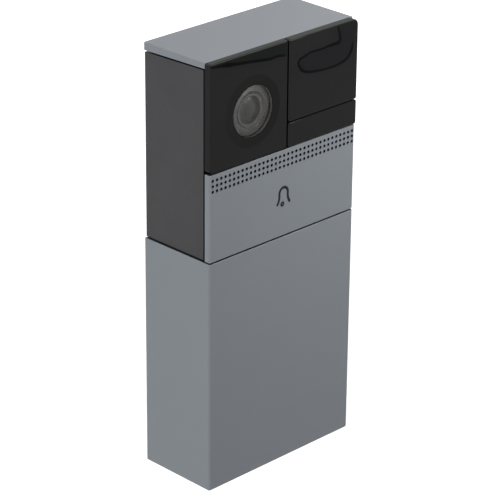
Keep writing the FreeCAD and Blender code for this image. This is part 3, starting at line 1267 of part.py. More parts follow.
NODES = {
    "rear_housing": rear_housing,
    "top_cap": top_cap,
    "lower_cover": lower_cover,
    "cover_screw": cover_screw,
    "screw_insert": screw_insert,
    "front_chassis": front_chassis,
    "chassis_gasket": chassis_gasket,
    "chassis_screws": chassis_screws,
    "camera_fascia": camera_fascia,
    "infrared_window": infrared_window,
    "motion_sensor_lens": motion_sensor_lens,
    "call_button": call_button,
    "bell_icon": bell_icon,
    "button_clips": button_clips,
    "lens_window": lens_window,
    "camera_bezel": camera_bezel,
    "lens_barrel": lens_barrel,
    "lens_elements": lens_elements,
    "lens_holder": lens_holder,
    "image_sensor": image_sensor,
    "camera_board": camera_board,
    "camera_ribbon": camera_ribbon,
    "sensor_board": sensor_board,
    "infrared_leds": infrared_leds,
    "light_sensor": light_sensor,
    "motion_sensor": motion_sensor,
    "main_board": main_board,
    "board_screws": board_screws,
    "main_board_chips": main_board_chips,
    "shield_can": shield_can,
    "wifi_antenna": wifi_antenna,
    "speaker_gasket": speaker_gasket,
    "speaker_frame": speaker_frame,
    "speaker_cone": speaker_cone,
    "speaker_magnet": speaker_magnet,
    "microphone": microphone,
    "microphone_boot": microphone_boot,
    "switch_board": switch_board,
    "call_switch": call_switch,
    "switch_plunger": switch_plunger,
    "service_board": service_board,
    "usb_socket": usb_socket,
    "reset_switch": reset_switch,
    "reset_plunger": reset_plunger,
    "reset_button": reset_button,
    "battery_holder": battery_holder,
    "battery_cells": battery_cells,
    "battery_bridge": battery_bridge,
    "battery_contacts": battery_contacts,
    "wall_bracket": wall_bracket,
}

os.makedirs("parts", exist_ok=True)
for node, make in NODES.items():
    shape = make()
    box_size = shape.BoundBox
    print(node, "solids", len(shape.Solids), "valid", shape.isValid(),
          "volume %.1f" % shape.Volume,
          "x %.2f..%.2f y %.2f..%.2f z %.2f..%.2f" % (box_size.XMin, box_size.XMax, box_size.YMin,
                                                     box_size.YMax, box_size.ZMin, box_size.ZMax))
    shape.exportStep("parts/" + node + ".step")
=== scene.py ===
# %% [markdown]
# # A video door phone, dressed for its picture
# The model comes from a CAD program with every piece at its real size: the case, the front plates, the
# sliding battery cover and all that is inside. Here each piece gets the surface that it has in the hand,
# and no shape is added to it. All lengths are in metres.

# %% Load the packed model
import math

import bpy
from mathutils import Matrix, Vector


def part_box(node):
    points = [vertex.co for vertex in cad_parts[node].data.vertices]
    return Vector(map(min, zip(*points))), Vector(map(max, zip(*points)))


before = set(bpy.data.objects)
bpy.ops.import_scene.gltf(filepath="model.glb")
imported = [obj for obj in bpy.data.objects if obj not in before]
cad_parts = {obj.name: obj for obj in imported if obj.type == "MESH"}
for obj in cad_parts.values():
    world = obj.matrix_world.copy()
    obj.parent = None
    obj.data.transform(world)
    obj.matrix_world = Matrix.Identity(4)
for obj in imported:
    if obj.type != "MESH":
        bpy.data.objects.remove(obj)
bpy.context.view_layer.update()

MM = 0.001

# %% [markdown]
# ## The camera
# A long lens from a little above the front left corner gives the calm, nearly parallel edges of a
# catalogue picture. It could be aimed by hand, but a direction, a distance and a focal length that were
# worked out from the corners of the phone are easier to keep: the camera looks along `ahead`, and
# `right` and `above` are the two edges of its picture.

# %% Camera
YAW = math.radians(44.81)
PITCH = math.radians(24.06)
ROLL = math.radians(0.51)
FOCAL_PIXELS = 2468
PICTURE_PIXELS = 500
SENSOR_MM = 36
CAMERA_DISTANCE = 0.7652
MIDDLE = Vector((0, 0, 0.07))
AIM_RIGHT = -0.00018
AIM_ABOVE = -0.00187

ahead = Vector((math.sin(YAW) * math.cos(PITCH), math.cos(YAW) * math.cos(PITCH), -math.sin(PITCH)))
level = Vector((math.cos(YAW), -math.sin(YAW), 0))
upright = level.cross(ahead)
right = math.cos(ROLL) * level + math.sin(ROLL) * upright
above = math.cos(ROLL) * upright - math.sin(ROLL) * level

lens = bpy.data.cameras.new("studio_camera")
lens.sensor_width = SENSOR_MM
lens.lens = FOCAL_PIXELS / PICTURE_PIXELS * SENSOR_MM
lens.clip_start = 0.05
lens.clip_end = 20
camera = bpy.data.objects.new("studio_camera", lens)
bpy.context.scene.collection.objects.link(camera)
place = MIDDLE + AIM_RIGHT * right + AIM_ABOVE * above - CAMERA_DISTANCE * ahead
turn = Matrix((right, above, -ahead)).transposed().to_4x4()
camera.matrix_world = Matrix.Translation(place) @ turn
bpy.context.scene.camera = camera
bpy.context.scene.view_settings.view_transform = "Standard"
print("camera at", [round(value, 4) for value in place], "lens", round(lens.lens, 1), "mm")

# %% [markdown]
# ## Writing shaders as sums
# A node graph drawn by hand is hard to read back as code. `Signal` wraps one output socket, so that a mask
# is written as `1 - grain * 0.5`, and each operator adds its own Math node.


# %% Signals
class Signal:
    """One output socket, which can stand in a Python expression."""

    def __init__(self, graph, socket):
        self.graph = graph
        self.socket = socket

    def math(self, operation, first, second=0):
        return self.graph.node("Math", {"operation": operation}, {0: first, 1: second})

    def __add__(self, other):
        return self.math("ADD", self, other)

    def __radd__(self, other):
        return self.math("ADD", other, self)

    def __sub__(self, other):
        return self.math("SUBTRACT", self, other)

    def __rsub__(self, other):
        return self.math("SUBTRACT", other, self)

    def __mul__(self, other):
        return self.math("MULTIPLY", self, other)

    def __rmul__(self, other):
        return self.math("MULTIPLY", other, self)

    def __truediv__(self, other):
        return self.math("DIVIDE", self, other)

    def __pow__(self, other):
        return self.math("POWER", self, other)

    def least(self, other):
        return self.math("MINIMUM", self, other)

    def most(self, other):
        return self.math("MAXIMUM", self, other)

    def above(self, level):
        return self.math("GREATER_THAN", self, level)

    def below(self, level):
        return self.math("LESS_THAN", self, level)

    def size(self):
        return self.math("ABSOLUTE", self)

    def root(self):
        return self.math("SQRT", self)

    def fraction(self):
        return self.math("FRACT", self)

    def wave(self):
        return self.math("SINE", self)


print("signals ready:", len([name for name in vars(Signal) if not name.startswith("_")]), "named steps")

# %% [markdown]
# ## One maker for every other node
# `Graph.node` makes each node that isn't a sum: its settings come first, because some of them decide which
# sockets the node has, and then its inputs, which may be numbers, colours or signals. The patterns that the
# finishes share are short methods below it.


# %% Graphs
class Graph:
    """The nodes of one material or of the world."""

    def __init__(self, owner):
        owner.use_nodes = True
        self.tree = owner.node_tree
        self.tree.nodes.clear()

    def feed(self, socket, value):
        if isinstance(value, Signal):
            self.tree.links.new(value.socket, socket)
        elif socket.type == "RGBA" and len(value) == 3:
            socket.default_value = (*value, 1)
        else:
            socket.default_value = value

    def node(self, kind, settings=None, inputs=None, output=0):
        made = self.tree.nodes.new("ShaderNode" + kind)
        for name, value in (settings or {}).items():
            setattr(made, name, value)
        for name, value in (inputs or {}).items():
            self.feed(made.inputs[name], value)
        return Signal(self, made.outputs[output]) if made.outputs else made

    def parts(self, vector, names):
        """The numbers of a vector that are named by letter, in the order of the letters."""
        split = self.tree.nodes.new("ShaderNodeSeparateXYZ")
        self.feed(split.inputs[0], vector)
        return [Signal(self, split.outputs["xyz".index(name)]) for name in names]

    def place(self):
        return self.node("TexCoord", output="Object")

    def axes(self, names="xyz"):
        return self.parts(self.place(), names)

    def facing(self, names="xyz"):
        """The direction that the surface faces, as x, y and z from -1 to 1."""
        return self.parts(self.node("TexCoord", output="Normal"), names)

    def stretched(self, scale):
        """The place, squeezed by a factor for each axis, for patterns that run one way."""
        return self.node("VectorMath", {"operation": "MULTIPLY"}, {0: self.place(), 1: scale})

    def noise(self, size, detail=2, roughness=0.5, at=None):
        """A soft random pattern from 0 to 1, whose blobs are about as wide as size."""
        return self.node("TexNoise", {}, {"Vector": at or self.place(), "Scale": 1 / size, "Detail": detail,
                                          "Roughness": roughness})

    def cells(self, size, output="Distance", shape="EUCLIDEAN"):
        """Scattered cells: the distance from the middle of each, or its own random Color."""
        return self.node("TexVoronoi", {"distance": shape},
                         {"Vector": self.place(), "Scale": 1 / size}, output)

    def ramp(self, value, low, high):
        """0 below low, 1 above high, and a smooth step between them."""
        return self.node("MapRange", {"interpolation_type": "SMOOTHSTEP", "clamp": True},
                         {"Value": value, "From Min": low, "From Max": high})

    def mix(self, mask, first, second):
        """Colour first where mask is 0, second where it is 1."""
        return self.node("Mix", {"data_type": "RGBA"}, {0: mask, 6: first, 7: second}, 2)

    def shaded(self, colour, shade):
        """A colour made lighter or darker by a signal near 1."""
        return self.node("VectorMath", {"operation": "SCALE"}, {0: colour, "Scale": shade})

    def bump(self, height, depth, strength=1):
        return self.node("Bump", {}, {"Height": height, "Distance": depth, "Strength": strength})


print("graphs ready:", len([name for name in vars(Graph) if not name.startswith("_")]), "steps")

# %% [markdown]
# ## One way to make a material
# Every finish on the phone but the clear window ends in one Principled shader. A finish therefore only says
# what is different about it: numbers that are the same all over go straight to the shader's sockets, and
# patterns go to the few sockets that can be baked into an exported picture.


# %% Materials and colours
def linear(red, green, blue):
    """A screen colour of 0 to 255, by the sRGB rule, as the light that a shader works with."""
    return tuple((part / 255 / 12.92) if part <= 10 else ((part / 255 + 0.055) / 1.055) ** 2.4
                 for part in (red, green, blue))


def times(colour, factor):
    return tuple(part * factor for part in colour)


def new_finish(name):
    material = bpy.data.materials.new(name)
    return material, Graph(material)


def principled(graph, inputs):
    shader = graph.node("BsdfPrincipled", {}, inputs)
    graph.node("OutputMaterial", {}, {"Surface": shader})


dressed = []


def dress(node, material):
    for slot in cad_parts[node].material_slots:
        slot.material = material
    dressed.append(node)


print("mid grey as light:", [round(part, 3) for part in linear(128, 128, 128)])

# %% [markdown]
# ## Where on a piece
# Wear gathers on edges, and the inside and the joints of a painted piece get painted shade. Both can be told
# from the place of a point alone: the box of the piece says how far its six sides are, and the second
# smallest of those distances is small only near an edge. This needs no hand-painted mask and follows the CAD
# when a size changes. The other thing that is known of a point is where its face looks: 1 is square on to an
# axis and
# 0 is edge on.


# %% Places on a piece
SQUARE_ON = 0.85
HALF_TURNED = 0.5


def middle_of(node):
    low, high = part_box(node)
    return (low + high) / 2


def size_in_mm(node):
    low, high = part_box(node)
    return [round(value / MM, 2) for value in high - low]


def side_distances(graph, node):
    """How far a point is from the nearest side of the piece's box, along x, y and z."""
    low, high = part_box(node)
    return [(part - start).least(end - part) for part, start, end in zip(graph.axes(), low, high)]


def edge_nearness(graph, node, width):
    """1 on the outer edges of a box-shaped piece, falling to 0 at width away from them."""
    dx, dy, dz = side_distances(graph, node)
    second = dx.least(dy).most(dx.most(dy).least(dz))
    return 1 - graph.ramp(second, 0, width)


def axis_distance(graph, node):
    """How far a point is from the line along y through the middle of the piece."""
    middle = middle_of(node)
    x, z = graph.axes("xz")
    return ((x - middle.x) ** 2 + (z - middle.z) ** 2).root()


def front_face(graph):
    """1 on the faces that look towards the front of the phone."""
    return graph.facing()[1].below(-HALF_TURNED)


def front_window(graph, node, half_width, half_height):
    """1 inside an upright rectangle in the middle of the piece's front."""
    middle = middle_of(node)
    x, z = graph.axes("xz")
    inside = (x - middle.x).size().below(half_width) * (z - middle.z).size().below(half_height)
    return inside * front_face(graph)


for node in ("lower_cover", "call_button", "top_cap"):
    print(node, "is", size_in_mm(node), "mm")

# %% [markdown]
# ## The grey paint
# The cap, the call plate and the cover are moulded plastic under a satin paint with a fine tooth. A plain
# grey would look like clay, so three things are laid over it: a grain a quarter of a millimetre wide that
# also lifts the surface, a broad cloudiness of one or two percent from the spray gun, and edges that hands
# have polished a little. The grain drives the bump and the roughness together, as it does in real paint.
# The faces that meet in the joints, the inside of the sound holes and the underside of the cap get a painted
# shade of near black, which stands in for the shadow in those gaps and holes, so the joints read as thin
# black lines. The lengths below say how close to the outside of a piece a point must lie to belong to its
# skin, its side, its rim or its edge.


# %% Grey paint
SHADE_BLACK = linear(12, 12, 13)
PAINT = linear(121, 127, 133)
COVER_SKIN = 0.6 * MM
COVER_RIM = 0.2 * MM
PLATE_SKIN = 0.07 * MM
PLATE_SIDE = 0.55 * MM
PLATE_EDGE = 0.1 * MM


def satin_paint(name, node, colour, shade_places):
    material, graph = new_finish(name)
    grain = graph.noise(0.26 * MM, 3, 0.6)
    clouds = graph.noise(16 * MM, 3, 0.55)
    flecks = graph.ramp(graph.noise(0.11 * MM, 1), 0.62, 0.75)
    edge = edge_nearness(graph, node, 0.5 * MM) * graph.noise(3 * MM, 2)
    painted = graph.shaded(colour, 0.95 + grain * 0.06 + clouds * 0.04)
    flecked = graph.mix(flecks * 0.14, painted, times(colour, 1.5))
    worn = graph.mix(edge * 0.25, flecked, times(colour, 1.4))
    painted_shade = shade_places(graph)
    normal = graph.bump(grain + clouds * 2, 0.012 * MM, 0.5)
    # painted shade: near black on the joints, in the sound holes and under the cap
    principled(graph, {"Base Color": graph.mix(painted_shade, worn, SHADE_BLACK),
                       "Roughness": 0.43 + grain * 0.12 - edge * 0.1 + painted_shade * 0.2,
                       "Specular IOR Level": 0.45, "Normal": normal})
    return material


def cover_joint(graph):
    """The rim of the cover and everything inside its outer skin, which get painted shade."""
    low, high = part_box("lower_cover")
    y, z = graph.axes("yz")
    dx = side_distances(graph, "lower_cover")[0]
    inside = dx.least(y - low.y).least(z - low.z).above(COVER_SKIN)
    return (graph.facing()[2].above(SQUARE_ON) * z.above(high.z - COVER_RIM)).most(inside)


def call_plate_joint(graph):
    """The upper and lower edges of the call plate, its sound holes and its back, which get painted shade."""
    depth = graph.axes()[1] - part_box("call_button")[0].y
    tilt = graph.facing()[2].size()
    dx, _, dz = side_distances(graph, "call_button")
    inside = depth.above(PLATE_SKIN) * dx.above(PLATE_SIDE) * tilt.below(SQUARE_ON)
    return (tilt.above(SQUARE_ON) * dz.below(PLATE_EDGE)).most(inside)


def cap_joint(graph):
    """The underside of the cap, which gets painted shade."""
    return graph.facing()[2].below(-SQUARE_ON)


PAINTED = {"lower_cover": ("cover", cover_joint), "call_button": ("call_plate", call_plate_joint),
           "top_cap": ("cap", cap_joint)}
for node, (short_name, joint) in PAINTED.items():
    dress(node, satin_paint("grey_paint_" + short_name, node, PAINT, joint))
print("painted pieces:", len(PAINTED))

# %% [markdown]
# ## Charcoal and black mouldings
# The rear housing, the bracket and the inner frames are bare plastic. A mould that has been spark eroded
# leaves an even pitted grain, which hides finger marks: noise of a third of a millimetre makes the pits, and
# a wider, faint noise gives the slow change of tone that such a wall has. One function serves every
# moulding, because they differ only in colour, grain and shine. The grain scatters light and greys the
# plastic. The faces of the housing that close against its neighbours get a painted shade of near black,
# which stands in for the shadow in those joints.


# %% Moulded plastic
FRONT_RIM_Y = -9 * MM


def housing_joint(graph):
    """The faces of the upper housing that close against the front plates, the cap and the cover, which get
    painted shade.
    """
    y, z = graph.axes("yz")
    ny, nz = graph.facing("yz")
    rim = ny.below(-SQUARE_ON) * y.below(FRONT_RIM_Y)
    return rim.most(nz.size().above(SQUARE_ON)) * z.above(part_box("lower_cover")[1].z)


def moulding(name, colour, roughness=0.5, grain_size=0.34 * MM, pit_depth=0.02 * MM, contrast=0.2,
             shine=0.35, joint_shade_places=None):
    material, graph = new_finish(name)
    pits = graph.noise(grain_size, 2, 0.6)
    tone = graph.noise(11 * MM, 2)
    shade = graph.ramp(pits * 0.6 + tone * 0.4, 0.2, 0.8)
    base = graph.mix(shade, times(colour, 1 - contrast), times(colour, 1 + contrast))
    if joint_shade_places:
        # painted shade: the housing's joint faces turn near black
        base = graph.mix(joint_shade_places(graph), base, SHADE_BLACK)
    rub = graph.ramp(graph.noise(5 * MM, 4, 0.65), 0.55, 0.8)
    principled(graph, {"Base Color": base, "Roughness": roughness + pits * 0.12 - rub * 0.08,
                       "Specular IOR Level": shine, "Normal": graph.bump(pits, pit_depth, 0.6)})
    return material


dress("rear_housing", moulding("charcoal_moulding", linear(50, 50, 52), joint_shade_places=housing_joint))
BLACK_MOULDINGS = {
    "wall_bracket": (66, 67, 69), "front_chassis": (12, 12, 13), "battery_holder": (38, 38, 40),
    "lens_holder": (26, 26, 27), "speaker_frame": (36, 36, 37), "call_switch": (40, 40, 42),
    "reset_switch": (40, 40, 42),
}
for node, colour in BLACK_MOULDINGS.items():
    dress(node, moulding("black_moulding_" + node, linear(*colour)))
for node in ("switch_plunger", "reset_plunger"):
    dress(node, moulding("pale_moulding_" + node, linear(196, 194, 188), roughness=0.45,
                         grain_size=0.2 * MM, pit_depth=0.008 * MM, contrast=0.06))
dress("reset_button", moulding("reset_key_moulding", linear(214, 216, 216), roughness=0.4,
                               grain_size=0.2 * MM, pit_depth=0.006 * MM, contrast=0.05))
print("mouldings dressed, pieces so far:", len(dressed))

# %% [markdown]
# ## The glossy black plates
# Three plates cover the camera and the sensors. They are polished black plastic: almost no colour of their
# own, and everything that the eye sees on them is reflection. A perfect mirror looks false, so the surface
# has the faint ripple that moulded plastic keeps from its tool, and dust and fine wiping marks that mostly
# change the roughness. A ring round the lens is a little less glossy, and the upper edge is dull, with a pale
# olive painted highlight where it faces up.


# %% Glossy plates
MATT_RING_RADIUS = 11.2 * MM
UPPER_EDGE_DEPTH = 1 * MM
GLOSS = {"camera_fascia": (9, 9, 9), "infrared_window": (10, 10, 12), "motion_sensor_lens": (10, 10, 11)}


def gloss_plate(name, node, colour):
    material, graph = new_finish(name)
    ripple = graph.noise(6 * MM, 1)
    smear = graph.ramp(graph.noise(9 * MM, 3, 0.6), 0.45, 0.75)
    dust = graph.ramp(graph.noise(0.16 * MM, 1), 0.74, 0.8)
    edge = edge_nearness(graph, node, 0.45 * MM)
    matt_ring = axis_distance(graph, "lens_window").below(MATT_RING_RADIUS) * front_face(graph)
    near_top = graph.axes()[2].above(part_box("camera_fascia")[1].z - UPPER_EDGE_DEPTH)
    upper_edge_highlight = graph.ramp(graph.facing()[2], 0.2, 0.6) * near_top
    dusty = graph.mix(dust * 0.04 + edge * 0.08, colour, linear(104, 110, 106))
    # painted highlight: pale olive on the upper edge where it faces up
    base = graph.mix(upper_edge_highlight * 0.8, dusty, linear(58, 63, 58))
    principled(graph, {"Base Color": base, "Roughness": 0.06 + smear * 0.05 + dust * 0.2 + edge * 0.1,
                       "Specular IOR Level": 0.03,
                       "Coat Weight": (0.18 - matt_ring * 0.06 - smear * 0.015) * (1 - upper_edge_highlight * 0.9),
                       "Coat Roughness": 0.01, "Normal": graph.bump(ripple, 0.01 * MM, 0.3)})
    return material


for node, colour in GLOSS.items():
    dress(node, gloss_plate("gloss_black_" + node, node, linear(*colour)))
print("gloss plates:", len(GLOSS))

# %% [markdown]
# ## The bell on the call plate
# On the real plate the bell is pressed in and filled with a hard black ink that stands a hair lower than
# the paint. It is a piece of its own in the CAD, so here it only needs the ink: near black, with pinholes
# and a little more shine than the paint around it.


# %% Ink of the bell
def filled_ink(name, colour):
    material, graph = new_finish(name)
    film = graph.noise(0.5 * MM, 3, 0.6)
    pinholes = graph.ramp(graph.cells(0.3 * MM), 0.02, 0.12)
    base = graph.mix(film, times(colour, 0.8), times(colour, 1.25))
    principled(graph, {"Base Color": base, "Roughness": 0.34 + film * 0.12,
                       "Specular IOR Level": 0.15, "Normal": graph.bump(pinholes * film, 0.01 * MM, 0.6)})
    return material


dress("bell_icon", filled_ink("bell_ink", linear(13, 13, 15)))
print("bell:", size_in_mm("bell_icon"), "mm")

# %% [markdown]
# ## The camera's window
# The flat window over the lens is clear plastic. It could be left out, because it hardly shows, but its
# reflection is what tells the eye that the lens lies deep. It is a clear refracting shader with a little
# haze where fingers touch it. The index is lower than that of bare plastic, because such windows carry a
# film that weakens their reflection. The rim is frosted grey, so that no light runs round inside the disc.


# %% Clear window
COATED_INDEX = 1.2


def clear_window(name):
    material, graph = new_finish(name)
    haze = graph.ramp(graph.noise(3 * MM, 4, 0.6), 0.4, 0.9)
    grease = graph.mix(haze, (0.97, 0.97, 0.96), (0.93, 0.93, 0.92))
    rim = graph.facing()[1].size().below(HALF_TURNED)
    clear = graph.node("BsdfPrincipled", {}, {"Base Color": grease, "Roughness": 0.01 + haze * 0.03,
                                              "IOR": COATED_INDEX, "Transmission Weight": 1,
                                              "Normal": graph.bump(haze, 0.002 * MM, 0.2)})
    frosted_grey = graph.shaded(linear(74, 71, 68), 0.9 + haze * 0.2)
    frost = graph.node("BsdfPrincipled", {}, {"Base Color": frosted_grey, "Roughness": 0.8,
                                              "Specular IOR Level": 0.1})
    both = graph.node("MixShader", {}, {0: rim, 1: clear, 2: frost})
    graph.node("OutputMaterial", {}, {"Surface": both})
    return material


dress("lens_window", clear_window("clear_window"))
print("window:", size_in_mm("lens_window"), "mm")

# %% [markdown]
# ## Inside the camera
# Behind the window lie a grey ring, the black barrel and the coated lens. Each is turned, so its marks run
# round: the distance from the lens axis, fed to a sine, gives the fine turning lines. Here and further down,
# waves are written in radians for each metre, so that 2 pi over a pitch gives that pitch. The lens is nearly
# black, with the brown tinge that a coating leaves and a painted sheen that is paler away from the middle,
# and a painted shade that darkens the eye where the stop stands.


# %% Ring, barrel and lenses
PAINTED_SHEEN_RADII = (0.8 * MM, 4.2 * MM)
STOP_RADII = (1.9 * MM, 2.5 * MM)


def rings(radius, waves):
    """Rings from 0 to 1 about an axis, at a distance of radius from it."""
    return (radius * waves).wave() * 0.5 + 0.5


def turned_finish(name, node, colour, pitch, roughness):
    material, graph = new_finish(name)
    lines = rings(axis_distance(graph, node), 2 * math.pi / pitch)
    speckle = graph.noise(0.3 * MM, 2)
    base = graph.mix(lines * 0.4 + speckle * 0.6, times(colour, 0.86), times(colour, 1.14))
    principled(graph, {"Base Color": base, "Roughness": roughness + speckle * 0.1,
                       "Normal": graph.bump(lines, 0.012 * MM, 0.4)})
    return material


def coated_lens(name, node):
    material, graph = new_finish(name)
    radius = axis_distance(graph, node)
    # painted sheen: paler away from the middle; painted shade: the dark eye at the stop
    painted_sheen = graph.ramp(radius, *PAINTED_SHEEN_RADII)
    eye_shade = 1 - graph.ramp(radius, *STOP_RADII)
    dust = graph.ramp(graph.noise(0.12 * MM, 1), 0.7, 0.8)
    tinge_and_sheen = graph.mix(painted_sheen, linear(24, 22, 20), linear(28, 26, 23))
    base = graph.mix(eye_shade * 0.8, tinge_and_sheen, linear(8, 7, 7))
    principled(graph, {"Base Color": graph.mix(dust * 0.1, base, linear(150, 150, 145)),
                       "Roughness": 0.3 + dust * 0.2, "Specular IOR Level": 0.2,
                       "Normal": graph.bump(dust, 0.002 * MM, 0.2)})
    return material


dress("camera_bezel", turned_finish("grey_ring", "camera_bezel", linear(42, 41, 40), 0.12 * MM, 0.5))
dress("lens_barrel", turned_finish("black_barrel", "lens_barrel", linear(30, 29, 28), 0.2 * MM, 0.45))
dress("lens_elements", coated_lens("coated_lens", "lens_barrel"))
print("camera dressed, pieces so far:", len(dressed))

# %% [markdown]
# ## The image sensor
# The sensor is a black ceramic square with a glass lid. Under the lid lies the die, and its fine lines split
# light into weak colours, which a pair of crossed sine waves stands in for.


# %% Image sensor
DIE_HALF_WIDTH = 2.6 * MM
DIE_HALF_HEIGHT = 2.0 * MM
DIE_WAVES_ACROSS = 4500
DIE_WAVES_UP = 3300


def sensor_die(name, node):
    material, graph = new_finish(name)
    x, z = graph.axes("xz")
    lid = front_window(graph, node, DIE_HALF_WIDTH, DIE_HALF_HEIGHT)
    lines = (x * DIE_WAVES_ACROSS).wave() * (z * DIE_WAVES_UP).wave() * 0.5 + 0.5
    glow = graph.mix(lines, linear(52, 60, 92), linear(92, 70, 60))
    ceramic = graph.mix(graph.noise(0.2 * MM), linear(26, 26, 28), linear(40, 40, 42))
    principled(graph, {"Base Color": graph.mix(lid, ceramic, glow), "Roughness": 0.6 - lid * 0.5,
                       "Metallic": lid * 0.4, "Normal": graph.bump(graph.noise(0.2 * MM), 0.005 * MM, 0.5)})
    return material


dress("image_sensor", sensor_die("sensor_die", "image_sensor"))
print("image sensor:", size_in_mm("image_sensor"), "mm")

# %% [markdown]
# ## Circuit boards
# A board is woven glass in resin, with copper lines under a coloured mask. Real layouts run in bundles that
# turn from one direction to the other, so a chessboard of random patches chooses between upright and level
# lanes, and a scatter of cells makes the plated holes, whose dark middles are painted shade. The cut edges
# show the bare, tan glass.


# %% Circuit board finish
TRACK_PITCH = 0.9 * MM
PATCH_SIZE = 4.6 * MM
HOLE_SPACING = 3.1 * MM
PAD_REACH = 0.15
HOLE_REACH = 0.06
WEAVE_WAVES = 9000
BOARDS = {"main_board": (18, 62, 42), "camera_board": (16, 56, 40), "sensor_board": (18, 62, 42),
          "switch_board": (18, 62, 42), "service_board": (20, 66, 44)}


def lanes(graph, place, pitch, solid, gone):
    """Parallel lines, solid near their middle and gone a little further out, in parts of the pitch."""
    return 1 - graph.ramp(((place / pitch).fraction() - 0.5).size(), solid, gone)


def circuit_board(name, mask_colour):
    material, graph = new_finish(name)
    x, z = graph.axes("xz")
    face = graph.facing()[1].size().above(HALF_TURNED)
    patch = graph.cells(PATCH_SIZE, "Color", "CHEBYCHEV").above(0.5)
    upright, level = [lanes(graph, place, TRACK_PITCH, 0.14, 0.2) for place in (x, z)]
    copper = (patch * upright + (1 - patch) * level) * graph.noise(6 * MM, 1).above(0.42)
    dot = graph.cells(HOLE_SPACING)
    pad = dot.below(PAD_REACH) * face
    hole = dot.below(HOLE_REACH) * face
    weave = (x * WEAVE_WAVES).wave() * (z * WEAVE_WAVES).wave() * 0.5 + 0.5
    resin = graph.shaded(mask_colour, 0.9 + weave * 0.2)
    tracks = graph.mix(copper, resin, times(mask_colour, 1.9))
    plated = graph.mix(pad, tracks, linear(206, 178, 112))
    # painted shade: the dark middle of each drilled hole
    drilled = graph.mix(hole, plated, linear(24, 24, 22))
    cut = graph.mix(graph.noise(0.2 * MM, 2), linear(150, 140, 96), linear(178, 168, 120))
    principled(graph, {"Base Color": graph.mix(face, cut, drilled),
                       "Roughness": 0.42 - copper * 0.08 + weave * 0.06,
                       "Metallic": pad * (1 - hole),
                       "Normal": graph.bump(copper * 0.6 + pad + weave * 0.1, 0.03 * MM, 0.6)})
    return material


for node, colour in BOARDS.items():
    dress(node, circuit_board("board_" + node, linear(*colour)))
print("boards:", len(BOARDS))

# %% [markdown]
# ## Chips and the shielding can
# Chips are moulded in black resin with a sandy face that carries painted glints. The can is tinned steel
# with rows of vent holes, drawn as dark dots of painted shade, since they are too small to matter as shapes.
# The radius of a vent is a part of the pitch.


# %% Chips and can
VENT_PITCH = 1.7 * MM
VENT_RADIUS = 0.2


def chip_resin(name):
    material, graph = new_finish(name)
    sand = graph.noise(0.09 * MM, 2, 0.7)
    painted_glint = graph.ramp(graph.noise(0.07 * MM, 1), 0.68, 0.78)
    base = graph.mix(sand, linear(26, 26, 28), linear(44, 44, 46))
    # painted highlight: small pale glints on the resin
    principled(graph, {"Base Color": graph.mix(painted_glint * 0.3, base, linear(96, 96, 98)),
                       "Roughness": 0.6 + sand * 0.15, "Normal": graph.bump(sand, 0.01 * MM, 0.7)})
    return material


def vented_tin(name):
    material, graph = new_finish(name)
    x, z = graph.axes("xz")
    column = (x / VENT_PITCH).fraction() - 0.5
    row = (z / VENT_PITCH).fraction() - 0.5
    vent = (column ** 2 + row ** 2).root().below(VENT_RADIUS) * front_face(graph)
    rolled = graph.noise(0.5 * MM, 3, 0.6, graph.stretched((1, 1, 0.08)))
    stain = graph.ramp(graph.noise(5 * MM, 3), 0.5, 0.8)
    tin = graph.mix(stain * 0.4, linear(196, 196, 192), linear(150, 148, 142))
    # painted shade: each vent is a near-black dot
    principled(graph, {"Base Color": graph.mix(vent, tin, linear(12, 12, 12)),
                       "Roughness": 0.26 + rolled * 0.14, "Metallic": 1 - vent,
                       "Normal": graph.bump(rolled - vent, 0.02 * MM, 0.4)})
    return material


dress("main_board_chips", chip_resin("chip_resin"))
dress("shield_can", vented_tin("vented_tin"))
print("board parts dressed, pieces so far:", len(dressed))

# %% [markdown]
# ## Steel, zinc and nickel
# Screws, springs and contacts are bare metal. What makes metal read as metal is that its marks run one way,
# so the noise is squeezed along one axis before it drives the roughness, and a broader noise dulls the
# places that fingers and flux have touched.


# %% Bare metal
def bare_metal(name, colour, roughness=0.28, grain=(1, 1, 0.06), stain_depth=0.35):
    material, graph = new_finish(name)
    drawn = graph.noise(0.14 * MM, 3, 0.6, graph.stretched(grain))
    stain = graph.ramp(graph.noise(2.2 * MM, 3, 0.6), 0.45, 0.8)
    base = graph.mix(stain * stain_depth, colour, times(colour, 0.55))
    principled(graph, {"Base Color": base, "Roughness": roughness + drawn * 0.16 + stain * 0.1,
                       "Metallic": 1.0, "Normal": graph.bump(drawn, 0.006 * MM, 0.4)})
    return material


ZINC = linear(178, 180, 182)
NICKEL = linear(198, 192, 178)
for node in ("cover_screw", "chassis_screws", "board_screws"):
    dress(node, bare_metal("zinc_" + node, ZINC, 0.3, (1, 0.06, 1)))
for node in ("battery_bridge", "battery_contacts"):
    dress(node, bare_metal("nickel_" + node, NICKEL, 0.24))
dress("button_clips", bare_metal("spring_steel", linear(140, 140, 144), 0.3, (1, 1, 1)))
dress("speaker_magnet", bare_metal("nickel_magnet", linear(170, 170, 172), 0.22, (1, 0.1, 1)))
print("metals dressed, pieces so far:", len(dressed))

# %% [markdown]
# ## The brass insert
# The insert that takes the cover screw is knurled so that it grips the plastic. Two helices that cross give
# the diamonds: the angle round the insert plus or minus the height, each fed to a sine.


# %% Knurled brass
KNURL_RIDGES = 22
KNURL_WAVES_UP = 9000


